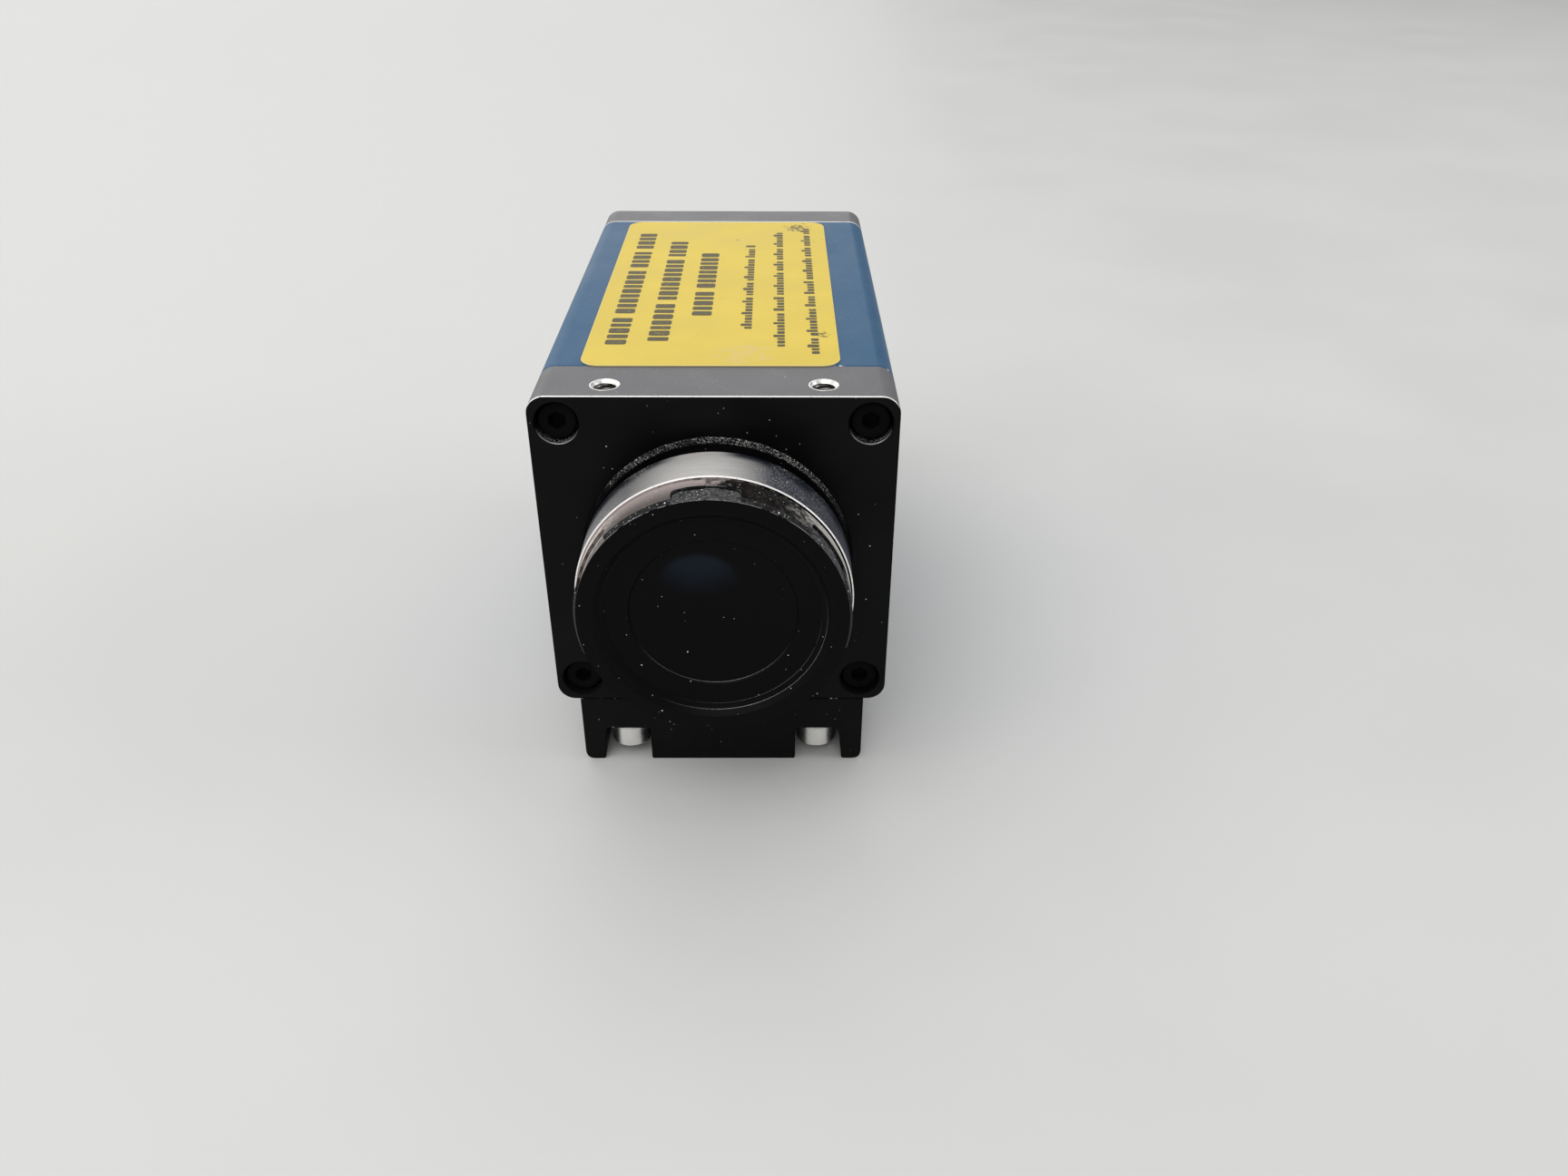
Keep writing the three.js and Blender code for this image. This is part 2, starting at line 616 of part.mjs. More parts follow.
// Extruded foot seen from the front: a central block and two outer lugs reach the table, and the
// channels between them hold the screw heads.
function tripodFoot() {
  const top = -SEAM;
  const ceiling = FOOT_CHANNEL_HEIGHT - FOOT_HEIGHT;
  const half = FOOT_WIDTH / 2;
  const blockHalf = FOOT_BLOCK_WIDTH / 2;
  const lugInner = blockHalf + FOOT_CHANNEL_WIDTH;
  const outline = new THREE.Shape();
  const lugCentre = half - FOOT_LUG_RADIUS;
  const lugHeight = FOOT_LUG_RADIUS - FOOT_HEIGHT;
  outline.moveTo(half, top);
  outline.lineTo(-half, top);
  outline.absarc(-lugCentre, lugHeight, FOOT_LUG_RADIUS, Math.PI, 1.5 * Math.PI);
  outline.lineTo(-lugInner, -FOOT_HEIGHT);
  outline.lineTo(-lugInner, ceiling);
  outline.lineTo(-blockHalf, ceiling);
  outline.lineTo(-blockHalf, -FOOT_HEIGHT);
  outline.lineTo(blockHalf, -FOOT_HEIGHT);
  outline.lineTo(blockHalf, ceiling);
  outline.lineTo(lugInner, ceiling);
  outline.lineTo(lugInner, -FOOT_HEIGHT);
  outline.absarc(lugCentre, lugHeight, FOOT_LUG_RADIUS, 1.5 * Math.PI, 2 * Math.PI);
  const screwHoles = [0, FOOT_SCREW_SPACING].flatMap((step) => atSides((x) => (
    rodAlongZ(M3_HOLE_RADIUS, -FOOT_HEIGHT, OVERRUN, x, M3_SETBACK + step, SMALL_FACETS)
  )));
  const threads = TRIPOD_THREADS.map(({ radius, setback }) => (
    rodAlongZ(radius, -FOOT_HEIGHT - OVERRUN, -FOOT_HEIGHT + TRIPOD_THREAD_DEPTH, 0, setback)
  ));
  return cut(toSolid(prism(outline, SEAM, FOOT_LENGTH)), ...screwHoles, ...threads);
}

function footFasteners() {
  const group = new THREE.Group();
  const ceiling = FOOT_CHANNEL_HEIGHT - FOOT_HEIGHT;
  const washerBottom = ceiling - SEAM - WASHER.thickness;
  const headBottom = washerBottom - SEAM - FOOT_SCREW.head_height;
  for (const [row, step] of Object.entries({ front: 0, rear: FOOT_SCREW_SPACING })) {
    for (const [side, sign] of Object.entries(SIDES)) {
      const x = sign * M3_OFFSET;
      const y = M3_SETBACK + step;
      const washer = cut(
        toSolid(rodAlongZ(WASHER.outer, washerBottom, ceiling - SEAM, x, y)),
        rodAlongZ(WASHER.inner, washerBottom - OVERRUN, ceiling + OVERRUN, x, y, SMALL_FACETS),
      );
      const screw = piece(`foot_screw_${row}_${side}`, capScrew(FOOT_SCREW), MATERIALS.steel);
      screw.rotation.x = Math.PI / 2;
      screw.position.set(x, y, headBottom);
      group.add(screw, piece(`foot_washer_${row}_${side}`, washer, MATERIALS.steel));
    }
  }
  return group;
}

// ---------------------------------------------------------------- electronics

const SENSOR_BOARD_FRONT = 11.3;
const SENSOR_BOARD_REAR = SENSOR_BOARD_FRONT + BOARD_THICKNESS;
const MAIN_BOARD_BOTTOM = 9.9;
const MAIN_BOARD_TOP = MAIN_BOARD_BOTTOM + BOARD_THICKNESS;
const POWER_BOARD_BOTTOM = 30;
const LONG_BOARD = { front: 18.5, rear: 67.9 };
const BOARD_GAP = 0.4; // round the screw posts and the floor rails
const BOARD_SCREW = { head_radius: 1.7, head_height: 1.3, shank_radius: 0.9, length: 6, socket: 1.5 };
const CCD_PACKAGE = { half_width: 10, half_height: 8.5, rim: 0.9 };
const CCD_POCKET = { half_width: 7, half_height: 5.8, depth: 1.5 };
const CCD_WINDOW = { half_width: 8.2, half_height: 7, thickness: 0.7 };
const CCD_DIE = { half_width: 5.2, half_height: 4.2, thickness: 0.5 };
const BOARD_CONNECTOR = { half_width: 9, height: 4 };
const STACK_CONNECTOR = { half_width: 12, front: 56, rear: 61 };

// A board across the housing, notched round the screw posts and the floor rails.
function crossBoard(front, cutouts = []) {
  const postNotch = CORNER_POST_RADIUS + BOARD_GAP;
  const railNotch = FLOOR_RAIL.width / 2 + BOARD_GAP;
  const railNotchTop = SHELL_WALL + FLOOR_RAIL.height + BOARD_GAP;
  const before = front - OVERRUN;
  const beyond = front + BOARD_THICKNESS + OVERRUN;
  return cut(
    toSolid(squarePrism(2 * (INNER_HALF - BOARD_GAP), INNER_CORNER, front, front + BOARD_THICKNESS)),
    ...atCorners((x, z) => rodAlongY(postNotch, before, beyond, x, z, SMALL_FACETS)),
    ...atSides((x) => block([x - railNotch, x + railNotch], [before, beyond], [0, railNotchTop])),
    ...cutouts,
  );
}

function imageSensor() {
  const group = new THREE.Group();
  const packageFront = IMAGE_PLANE - CCD_PACKAGE.rim;
  const packageRear = SENSOR_BOARD_FRONT - SEAM;
  const plate = ({ half_width, half_height }, front, rear) => block(
    [-half_width, half_width],
    [front, rear],
    [AXIS_HEIGHT - half_height, AXIS_HEIGHT + half_height],
  );
  const carrier = cut(
    toSolid(plate(CCD_PACKAGE, packageFront, packageRear)),
    plate(CCD_POCKET, packageFront - OVERRUN, packageFront + CCD_POCKET.depth),
  );
  const windowRear = packageFront - SEAM;
  const window = plate(CCD_WINDOW, windowRear - CCD_WINDOW.thickness, windowRear);
  const die = plate(CCD_DIE, IMAGE_PLANE, IMAGE_PLANE + CCD_DIE.thickness);
  group.add(piece('ccd_package', carrier, MATERIALS.ceramic));
  group.add(piece('ccd_cover_glass', window, MATERIALS.glass));
  group.add(piece('ccd_die', die, MATERIALS.silicon));
  return group;
}

// The sensor board hangs on four spacers behind the front flange.
function sensorBoard() {
  const group = new THREE.Group();
  const spacerFront = FRONT_FLANGE_DEPTH;
  const beyond = SENSOR_BOARD_REAR + OVERRUN;
  const holes = atSpacers((x, z) => rodAlongY(SPACER.hole, spacerFront, beyond, x, z, SMALL_FACETS));
  group.add(piece('sensor_board', crossBoard(SENSOR_BOARD_FRONT, holes), MATERIALS.circuitBoard));
  for (const [corner, [sideX, sideZ]] of Object.entries(CORNERS)) {
    const x = sideX * SPACER.x;
    const z = AXIS_HEIGHT + sideZ * SPACER.z;
    const spacer = cut(
      toSolid(rodAlongY(SPACER.radius, spacerFront, SENSOR_BOARD_FRONT - SEAM, x, z, SMALL_FACETS)),
      rodAlongY(SPACER.hole, spacerFront - OVERRUN, beyond, x, z, SMALL_FACETS),
    );
    const screw = piece(`sensor_board_screw_${corner}`, capScrew(BOARD_SCREW), MATERIALS.steel);
    screw.rotation.z = Math.PI;
    screw.position.set(x, SENSOR_BOARD_REAR + SEAM + BOARD_SCREW.head_height, z);
    group.add(piece(`sensor_board_spacer_${corner}`, spacer, MATERIALS.aluminium), screw);
  }
  return group;
}

function boards() {
  const group = new THREE.Group();
  const halfWidth = INNER_HALF - BOARD_GAP;
  const longBoard = (bottom) => block(
    [-halfWidth, halfWidth],
    [LONG_BOARD.front, LONG_BOARD.rear],
    [bottom, bottom + BOARD_THICKNESS],
  );
  const connector = (name, half, y, top) => piece(
    name,
    block([-half, half], y, [MAIN_BOARD_TOP + SEAM, top]),
    MATERIALS.socketPlastic,
  );
  const { half_width: half, height } = BOARD_CONNECTOR;
  const connectorTop = MAIN_BOARD_TOP + height;
  const reach = 3.4; // of the end connectors over the main board
  group.add(piece('main_board', longBoard(MAIN_BOARD_BOTTOM), MATERIALS.circuitBoard));
  group.add(piece('power_board', longBoard(POWER_BOARD_BOTTOM), MATERIALS.circuitBoard));
  group.add(piece('interface_board', crossBoard(INTERFACE_BOARD_FRONT), MATERIALS.circuitBoard));
  const sensorSide = [SENSOR_BOARD_REAR + SEAM, LONG_BOARD.front + reach];
  const interfaceSide = [LONG_BOARD.rear - reach, INTERFACE_BOARD_FRONT - SEAM];
  group.add(connector('sensor_connector', half, sensorSide, connectorTop));
  group.add(connector('interface_connector', half, interfaceSide, connectorTop));
  group.add(connector(
    'board_stack_connector',
    STACK_CONNECTOR.half_width,
    [STACK_CONNECTOR.front, STACK_CONNECTOR.rear],
    POWER_BOARD_BOTTOM - SEAM,
  ));
  return group;
}

// Heat leaves the processor downwards, through a metal block and a soft pad into the housing floor.
function heatPath() {
  const group = new THREE.Group();
  const middle = (LONG_BOARD.front + LONG_BOARD.rear) / 2;
  const layers = [
    { name: 'thermal_pad', half: 8.5, thickness: 1, material: MATERIALS.thermalPad },
    { name: 'heat_spreader', half: 9, thickness: 4.3, material: MATERIALS.aluminium },
    { name: 'processor_chip', half: 8, thickness: 2, material: MATERIALS.chipResin },
  ];
  let bottom = SHELL_WALL + SEAM;
  for (const { name, half, thickness, material } of layers) {
    const across = [middle - half, middle + half];
    group.add(piece(name, block([-half, half], across, [bottom, bottom + thickness]), material));
    bottom += thickness + SEAM;
  }
  return group;
}

// ---------------------------------------------------------------- rear connectors

const CONNECTOR_FRONT = INTERFACE_BOARD_FRONT + BOARD_THICKNESS + SEAM;

function busSocket(place, z) {
  const { x, width, height, corner, wall } = BUS_SOCKET;
  const front = CONNECTOR_FRONT;
  const rear = BODY_LENGTH + BUS_SOCKET.reach;
  const hollow = roundedRectangle(width - 2 * wall, height - 2 * wall, corner - CLEARANCE, x, z);
  const shell = cut(
    toSolid(prism(roundedRectangle(width, height, corner, x, z), front, rear)),
    prism(hollow, front - OVERRUN, rear + OVERRUN),
  );
  const baseHalf = width / 2 - wall - CLEARANCE;
  const baseRise = height / 2 - wall - CLEARANCE;
  const base = block(
    [x - baseHalf, x + baseHalf],
    [front, front + BUS_SOCKET.base_depth],
    [z - baseRise, z + baseRise],
  );
  const tongueHalf = BUS_SOCKET.tongue_width / 2;
  const tongueRise = BUS_SOCKET.tongue_thickness / 2;
  const tongue = block(
    [x - tongueHalf, x + tongueHalf],
    [front + BUS_SOCKET.base_depth / 2, rear - BUS_SOCKET.tongue_setback],
    [z - tongueRise, z + tongueRise],
  );
  return [
    piece(`bus_socket_shell_${place}`, shell, MATERIALS.steel),
    piece(`bus_socket_insert_${place}`, join(base, tongue), MATERIALS.socketPlastic),
  ];
}

// Round threaded-flange connector with twelve pins: nine in an outer circle and three inside it.
function ioConnector() {
  const { x, z, radius, bore, nut_radius, nut_depth, edge } = IO_CONNECTOR;
  const front = CONNECTOR_FRONT;
  const rear = BODY_LENGTH + CONNECTOR_REACH;
  const nutFront = BODY_LENGTH + SEAM;
  const nutRear = nutFront + nut_depth;
  const shell = turned([
    [bore, front],
    [radius, front],
    [radius, nutFront],
    [nut_radius, nutFront],
    [nut_radius, nutRear],
    [radius, nutRear],
    [radius, rear - edge],
    [radius - edge, rear],
    [bore, rear],
  ], x, z, 2 * ROD_FACETS);
  const face = BODY_LENGTH + IO_CONNECTOR.face;
  const pinRear = rear - IO_CONNECTOR.pin_setback;
  const pins = PIN_CIRCLES.flatMap((circle) => Array.from({ length: circle.count }, (_, index) => {
    const angle = index * (2 * Math.PI / circle.count);
    const pinX = x + circle.radius * Math.sin(angle);
    const pinZ = z + circle.radius * Math.cos(angle);
    return rodAlongY(IO_CONNECTOR.pin_radius, face - OVERRUN, pinRear, pinX, pinZ, PIN_FACETS);
  }));
  const insulator = rodAlongY(bore - CLEARANCE / 2, front, face, x, z);
  return [
    piece('io_connector_shell', shell, MATERIALS.steel),
    piece('io_connector_insert', join(insulator, ...pins), MATERIALS.socketPlastic),
  ];
}

function statusLight() {
  const { x, z, radius, reach } = STATUS_LIGHT;
  const tip = BODY_LENGTH + reach;
  const dome = turned([
    [0, CONNECTOR_FRONT],
    [radius, CONNECTOR_FRONT],
    [radius, tip - 0.75 * reach],
    [radius * 0.7, tip - 0.2 * reach],
    [0, tip],
  ], x, z, SMALL_FACETS);
  return piece('status_light', dome, MATERIALS.clearLight);
}

function rearConnectors() {
  const group = new THREE.Group();
  for (const [place, z] of Object.entries(BUS_SOCKET_HEIGHTS)) {
    group.add(...busSocket(place, z));
  }
  group.add(...ioConnector(), statusLight());
  return group;
}

// ---------------------------------------------------------------- the whole camera

const camera = new THREE.Group();
camera.add(
  housing(),
  cornerScrews(),
  threadInserts(),
  topLabel(),
  lensMount(),
  piece('tripod_foot', tripodFoot(), MATERIALS.blackAnodised),
  footFasteners(),
  imageSensor(),
  sensorBoard(),
  boards(),
  heatPath(),
  rearConnectors(),
);
camera.position.set(0, -(CAP_FRONT + BODY_LENGTH + CONNECTOR_REACH) / 2, FOOT_HEIGHT);

const part = new THREE.Group();
part.add(camera);

export default part;
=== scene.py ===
"""Looks of a compact C-mount camera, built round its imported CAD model.

Pieces are drawn in millimetres in the housing's own frame, as the CAD part is: Y = 0 on the
housing's front face, Z = 0 on its underside, X = 0 on its middle plane. dress() moves each one to
the row frame, in metres, and hangs it on its body.
"""

import json
import math

import bmesh
import bpy
from mathutils import Matrix, Vector


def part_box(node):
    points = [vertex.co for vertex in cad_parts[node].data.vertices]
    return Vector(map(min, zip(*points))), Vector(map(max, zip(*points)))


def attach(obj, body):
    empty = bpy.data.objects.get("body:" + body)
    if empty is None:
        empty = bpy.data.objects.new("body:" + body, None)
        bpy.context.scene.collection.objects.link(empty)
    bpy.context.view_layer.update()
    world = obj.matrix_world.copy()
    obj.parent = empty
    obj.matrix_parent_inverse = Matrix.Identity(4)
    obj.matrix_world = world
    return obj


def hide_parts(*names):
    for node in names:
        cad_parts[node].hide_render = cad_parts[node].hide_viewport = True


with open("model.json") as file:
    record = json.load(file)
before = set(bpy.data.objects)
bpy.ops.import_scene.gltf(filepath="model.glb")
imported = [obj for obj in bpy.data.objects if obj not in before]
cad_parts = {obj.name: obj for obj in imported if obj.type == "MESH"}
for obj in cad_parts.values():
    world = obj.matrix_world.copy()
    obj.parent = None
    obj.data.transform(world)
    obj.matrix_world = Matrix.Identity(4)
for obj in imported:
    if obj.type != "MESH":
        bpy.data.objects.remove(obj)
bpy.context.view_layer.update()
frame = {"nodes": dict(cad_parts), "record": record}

# --- sizes from the frame

MM = 0.001
BOSS_HEIGHT = 1.0
FLANGE_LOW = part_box("front_flange")[0]
ORIGIN = Vector((0, FLANGE_LOW.y + BOSS_HEIGHT * MM, FLANGE_LOW.z))
TO_ROW = Matrix.Translation(ORIGIN) @ Matrix.Diagonal((MM, MM, MM, 1))


def span(node):
    """A CAD node's lowest corner, highest corner and middle, in millimetres in the housing's frame."""
    low, high = [(corner - ORIGIN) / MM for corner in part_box(node)]
    return low, high, (low + high) / 2


def middle(node):
    return span(node)[2]


SIDE = span("body_shell")[1].x * 2
AXIS = SIDE / 2
LENGTH = span("rear_panel")[1].y
FLANGE_SEAM = (span("front_flange")[1].y + span("body_shell")[0].y) / 2
PANEL_SEAM = (span("rear_panel")[0].y + span("body_shell")[1].y) / 2
CORNER_RADIUS = 2.3
BOSS_RADIUS = 16.5  # at its front, with tapered sides
BOSS_FOOT_RADIUS = 16.8
NECK_RADIUS = 14.0
REAR_OF_RING = -3.4
CAP_FRONT = span("dust_cap")[0].y
REAR_OF_CAP = CAP_FRONT + 4.1
THREAD_RADIUS = 12.7
THREAD_PITCH = 25.4 / 32
M3_PITCH = 0.5

CORNERS = [f"{height}_{side}" for height in ("upper", "lower") for side in ("left", "right")]
SIDES = ("left", "right")

ROUND = 160  # facets round the lens axis
SMALL_ROUND = 48
ON_AXIS = 1e-6  # radii smaller than this share one point
WELD_DISTANCE = 0.001

# A thread's ridge: its steps in a turn, the steps over which its ends fade, how far it reaches into
# the wall it stands on, and half its base and half its tip as shares of the pitch.
THREAD_STEPS = 48
THREAD_FADE = 12
THREAD_ROOT = 0.04
THREAD_BASE_SHARE = 0.46
THREAD_TIP_SHARE = 0.07

# --- mesh tools


def make_object(name, bm):
    bmesh.ops.recalc_face_normals(bm, faces=bm.faces)
    mesh = bpy.data.meshes.new(name)
    bm.to_mesh(mesh)
    bm.free()
    obj = bpy.data.objects.new(name, mesh)
    bpy.context.scene.collection.objects.link(obj)
    return obj


def arc(centre_x, centre_y, radius, start, end, steps):
    """Points on a circle from one angle to another, in degrees."""
    points = []
    for step in range(steps + 1):
        angle = math.radians(start + (end - start) * step / steps)
        points.append((centre_x + radius * math.cos(angle), centre_y + radius * math.sin(angle)))
    return points


def rounded_rectangle(width, height, radius, x=0.0, z=0.0, steps=8):
    right, top = width / 2 - radius, height / 2 - radius
    corners = ((right, -top, -90), (right, top, 0), (-right, top, 90), (-right, -top, 180))
    outline = []
    for corner_x, corner_z, start in corners:
        outline += arc(x + corner_x, z + corner_z, radius, start, start + 90, steps)
    return outline


def fillet(points, radius, closed=True, steps=4):
    """Rounds the corners of an outline. A point may carry a radius of its own as a third number."""
    result = []
    count = len(points)
    for index, point in enumerate(points):
        here = Vector(point[:2])
        own = point[2] if len(point) > 2 else radius
        if own == 0 or (not closed and index in (0, count - 1)):
            result.append(tuple(here))
            continue
        before = Vector(points[index - 1][:2]) - here
        after = Vector(points[(index + 1) % count][:2]) - here
        bend = before.angle(after)
        reach = min(own / math.tan(bend / 2), before.length * 0.49, after.length * 0.49)
        start = here + before.normalized() * reach
        end = here + after.normalized() * reach
        for step in range(steps + 1):
            t = step / steps
            result.append(tuple(start * (1 - t) ** 2 + here * 2 * t * (1 - t) + end * t * t))
    return result


def prism(name, outline, front, rear):
    """An outline of (x, z) points made solid from front to rear along Y."""
    bm = bmesh.new()
    rings = [[bm.verts.new((x, y, z)) for x, z in outline] for y in (front, rear)]
    count = len(outline)
    for index in range(count):
        after = (index + 1) % count
        bm.faces.new((rings[0][index], rings[0][after], rings[1][after], rings[1][index]))
    bm.faces.new(rings[0])
    bm.faces.new(rings[1])
    return make_object(name, bm)


def slab(name, outline, bottom, top):
    """An outline of (x, y) points made solid from bottom to top."""
    plate = prism(name, outline, bottom, top)
    plate.data.transform(Matrix(((1, 0, 0, 0), (0, 0, 1, 0), (0, 1, 0, 0), (0, 0, 0, 1))))
    plate.data.flip_normals()
    return plate


def round_axis(x, z, upright):
    """Places points by radius, height and angle about an axis along Y through (x, z), or about a
    vertical axis through upright = (x, y)."""

    def place(radius, height, angle):
        across, along = radius * math.sin(angle), radius * math.cos(angle)
        if upright:
            return (upright[0] + across, upright[1] + along, height)
        return (x + across, height, (AXIS if z is None else z) + along)

    return place


def turned(name, profile, x=0.0, z=None, facets=ROUND, upright=None):
    """A closed profile of (radius, height) points turned about an axis of round_axis(). A profile
    may start and end on the axis."""
    bm = bmesh.new()
    place = round_axis(x, z, upright)
    columns = []
    on_axis = {}
    for facet in range(facets):
        angle = 2 * math.pi * facet / facets
        column = []
        for index, (radius, height) in enumerate(profile):
            if radius < ON_AXIS:
                if index not in on_axis:
                    on_axis[index] = bm.verts.new(place(0, height, 0))
                column.append(on_axis[index])
            else:
                column.append(bm.verts.new(place(radius, height, angle)))
        columns.append(column)
    count = len(profile)
    open_ended = profile[0][0] < ON_AXIS
    for facet in range(facets):
        here, beside = columns[facet], columns[(facet + 1) % facets]
        for index in range(count - 1 if open_ended else count):
            after = (index + 1) % count
            corners = [here[index], here[after], beside[after], beside[index]]
            unique = list(dict.fromkeys(corners))
            if len(unique) > 2:
                bm.faces.new(unique)
    return make_object(name, bm)


def turned_solid(name, outline, x=0.0, z=0.0, facets=SMALL_ROUND):
    """Rounds and turns an outline that starts and ends on the axis."""
    return turned(name, fillet(outline, 0, closed=False), x, z, facets)


def rod(name, radius, front, rear, x, z, facets=SMALL_ROUND):
    return turned(name, [(0, front), (radius, front), (radius, rear), (0, rear)], x, z, facets)


def upright_rod(name, radius, bottom, top, x, y, facets=SMALL_ROUND):
    profile = [(0, bottom), (radius, bottom), (radius, top), (0, top)]
    return turned(name, profile, facets=facets, upright=(x, y))


def block(name, xs, ys, zs):
    return prism(name, [(xs[0], zs[0]), (xs[1], zs[0]), (xs[1], zs[1]), (xs[0], zs[1])], *ys)


def settle(obj):
    """Turns the modifiers' result into the object's own mesh."""
    bpy.context.view_layer.update()
    depsgraph = bpy.context.evaluated_depsgraph_get()
    mesh = bpy.data.meshes.new_from_object(obj.evaluated_get(depsgraph))
    old = obj.data
    obj.modifiers.clear()
    obj.data = mesh
    bpy.data.meshes.remove(old)
    return obj


def weld(obj):
    """Merges the doubled vertices that a boolean leaves along its cuts, and closes its gaps."""
    bm = bmesh.new()
    bm.from_mesh(obj.data)
    bmesh.ops.remove_doubles(bm, verts=bm.verts, dist=WELD_DISTANCE)
    loose = [edge for edge in bm.edges if not edge.link_faces]
    bmesh.ops.delete(bm, geom=loose, context="EDGES")
    rims = [edge for edge in bm.edges if edge.is_boundary]
    bmesh.ops.holes_fill(bm, edges=rims)
    bm.to_mesh(obj.data)
    bm.free()


def combine(obj, cutters, operation):
    for cutter in cutters:
        modifier = obj.modifiers.new("combine", "BOOLEAN")
        modifier.operation = operation
        modifier.solver = "EXACT"
        modifier.object = cutter
    settle(obj)
    weld(obj)
    for cutter in cutters:
        bpy.data.meshes.remove(cutter.data)
    return obj


def cut(obj, *cutters):
    return combine(obj, cutters, "DIFFERENCE")


def join(obj, *others):
    return combine(obj, others, "UNION")


def gather(obj, *others):
    """Adds separate closed bodies to an object without a boolean."""
    bm = bmesh.new()
    for source in (obj, *others):
        bm.from_mesh(source.data)
    bm.to_mesh(obj.data)
    bm.free()
    for other in others:
        bpy.data.meshes.remove(other.data)
    return obj


def thread(name, radius, crest, pitch, start, end, x=0.0, z=None, upright=None):
    """A closed helical ridge standing from radius to crest, inwards or outwards, about an axis of
    round_axis(). It fades at its ends."""
    bm = bmesh.new()
    place = round_axis(x, z, upright)
    steps = int((end - start) / pitch * THREAD_STEPS)
    root = radius - math.copysign(THREAD_ROOT, crest - radius)
    half_base, half_tip = pitch * THREAD_BASE_SHARE, pitch * THREAD_TIP_SHARE
    sections = []
    for step in range(steps + 1):
        angle = 2 * math.pi * step / THREAD_STEPS
        height = start + pitch * step / THREAD_STEPS
        fade = min(1.0, step / THREAD_FADE, (steps - step) / THREAD_FADE)
        tip = root + (crest - root) * max(fade, 0.05)
        corners = ((root, -half_base), (tip, -half_tip), (tip, half_tip), (root, half_base))
        sections.append([bm.verts.new(place(reach, height + shift, angle)) for reach, shift in corners])
    for here, beyond in zip(sections, sections[1:]):
        for index in range(4):
            after = (index + 1) % 4
            bm.faces.new((here[index], here[after], beyond[after], beyond[index]))
    bm.faces.new(sections[0])
    bm.faces.new(sections[-1])
    return make_object(name, bm)


def distance(point, x, z):
    """How far a point lies from an axis along Y."""
    return math.hypot(point.x - x, point.z - z)


def paint_faces(obj, materials, name, chosen):
    """Gives the faces whose middle passes a test another of the object's materials. The test gets
    the middle's distance from the lens axis and the middle itself."""
    for face in obj.data.polygons:
        if chosen(distance(face.center, 0, AXIS), face.center):
            face.material_index = materials.index(name)


BEVEL_LIMIT = 40  # degrees
SMOOTH_LIMIT = 50


def dress(
    obj,
    materials,
    node=None,
    body="housing",
    bevel=0.0,
    segments=2,
    limit=BEVEL_LIMIT,
    added=(),
    touch_up=None,
):
    """Finishes a piece: bevels its sharp edges, in the second material if there is one, touches up
    what the bevel made, puts in added bodies such as thread ridges, smooths its shading, moves it
    to the row frame and hangs it on its body in place of its CAD node."""
    for name in materials:
        obj.data.materials.append(MATERIALS[name])
    if bevel:
        modifier = obj.modifiers.new("bevel", "BEVEL")
        modifier.width = bevel
        modifier.segments = segments
        modifier.limit_method = "ANGLE"
        modifier.angle_limit = math.radians(limit)
        modifier.material = 1 if len(materials) > 1 else -1
        modifier.use_clamp_overlap = False
        settle(obj)
    if touch_up:
        touch_up(obj)
    if added:
        gather(obj, *added)
    obj.data.transform(TO_ROW)
    for face in obj.data.polygons:
        face.use_smooth = True
    obj.data.set_sharp_from_angle(angle=math.radians(SMOOTH_LIMIT))
    weighted = obj.modifiers.new("weighted", "WEIGHTED_NORMAL")
    weighted.keep_sharp = True
    settle(obj)
    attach(obj, body)
    if node:
        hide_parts(node)


def dress_group(name, pieces, material):
    """Finishes many small pieces as one."""
    group = gather(*pieces)
    group.name = name
    dress(group, [material])


# --- material tools


MATERIALS = {}


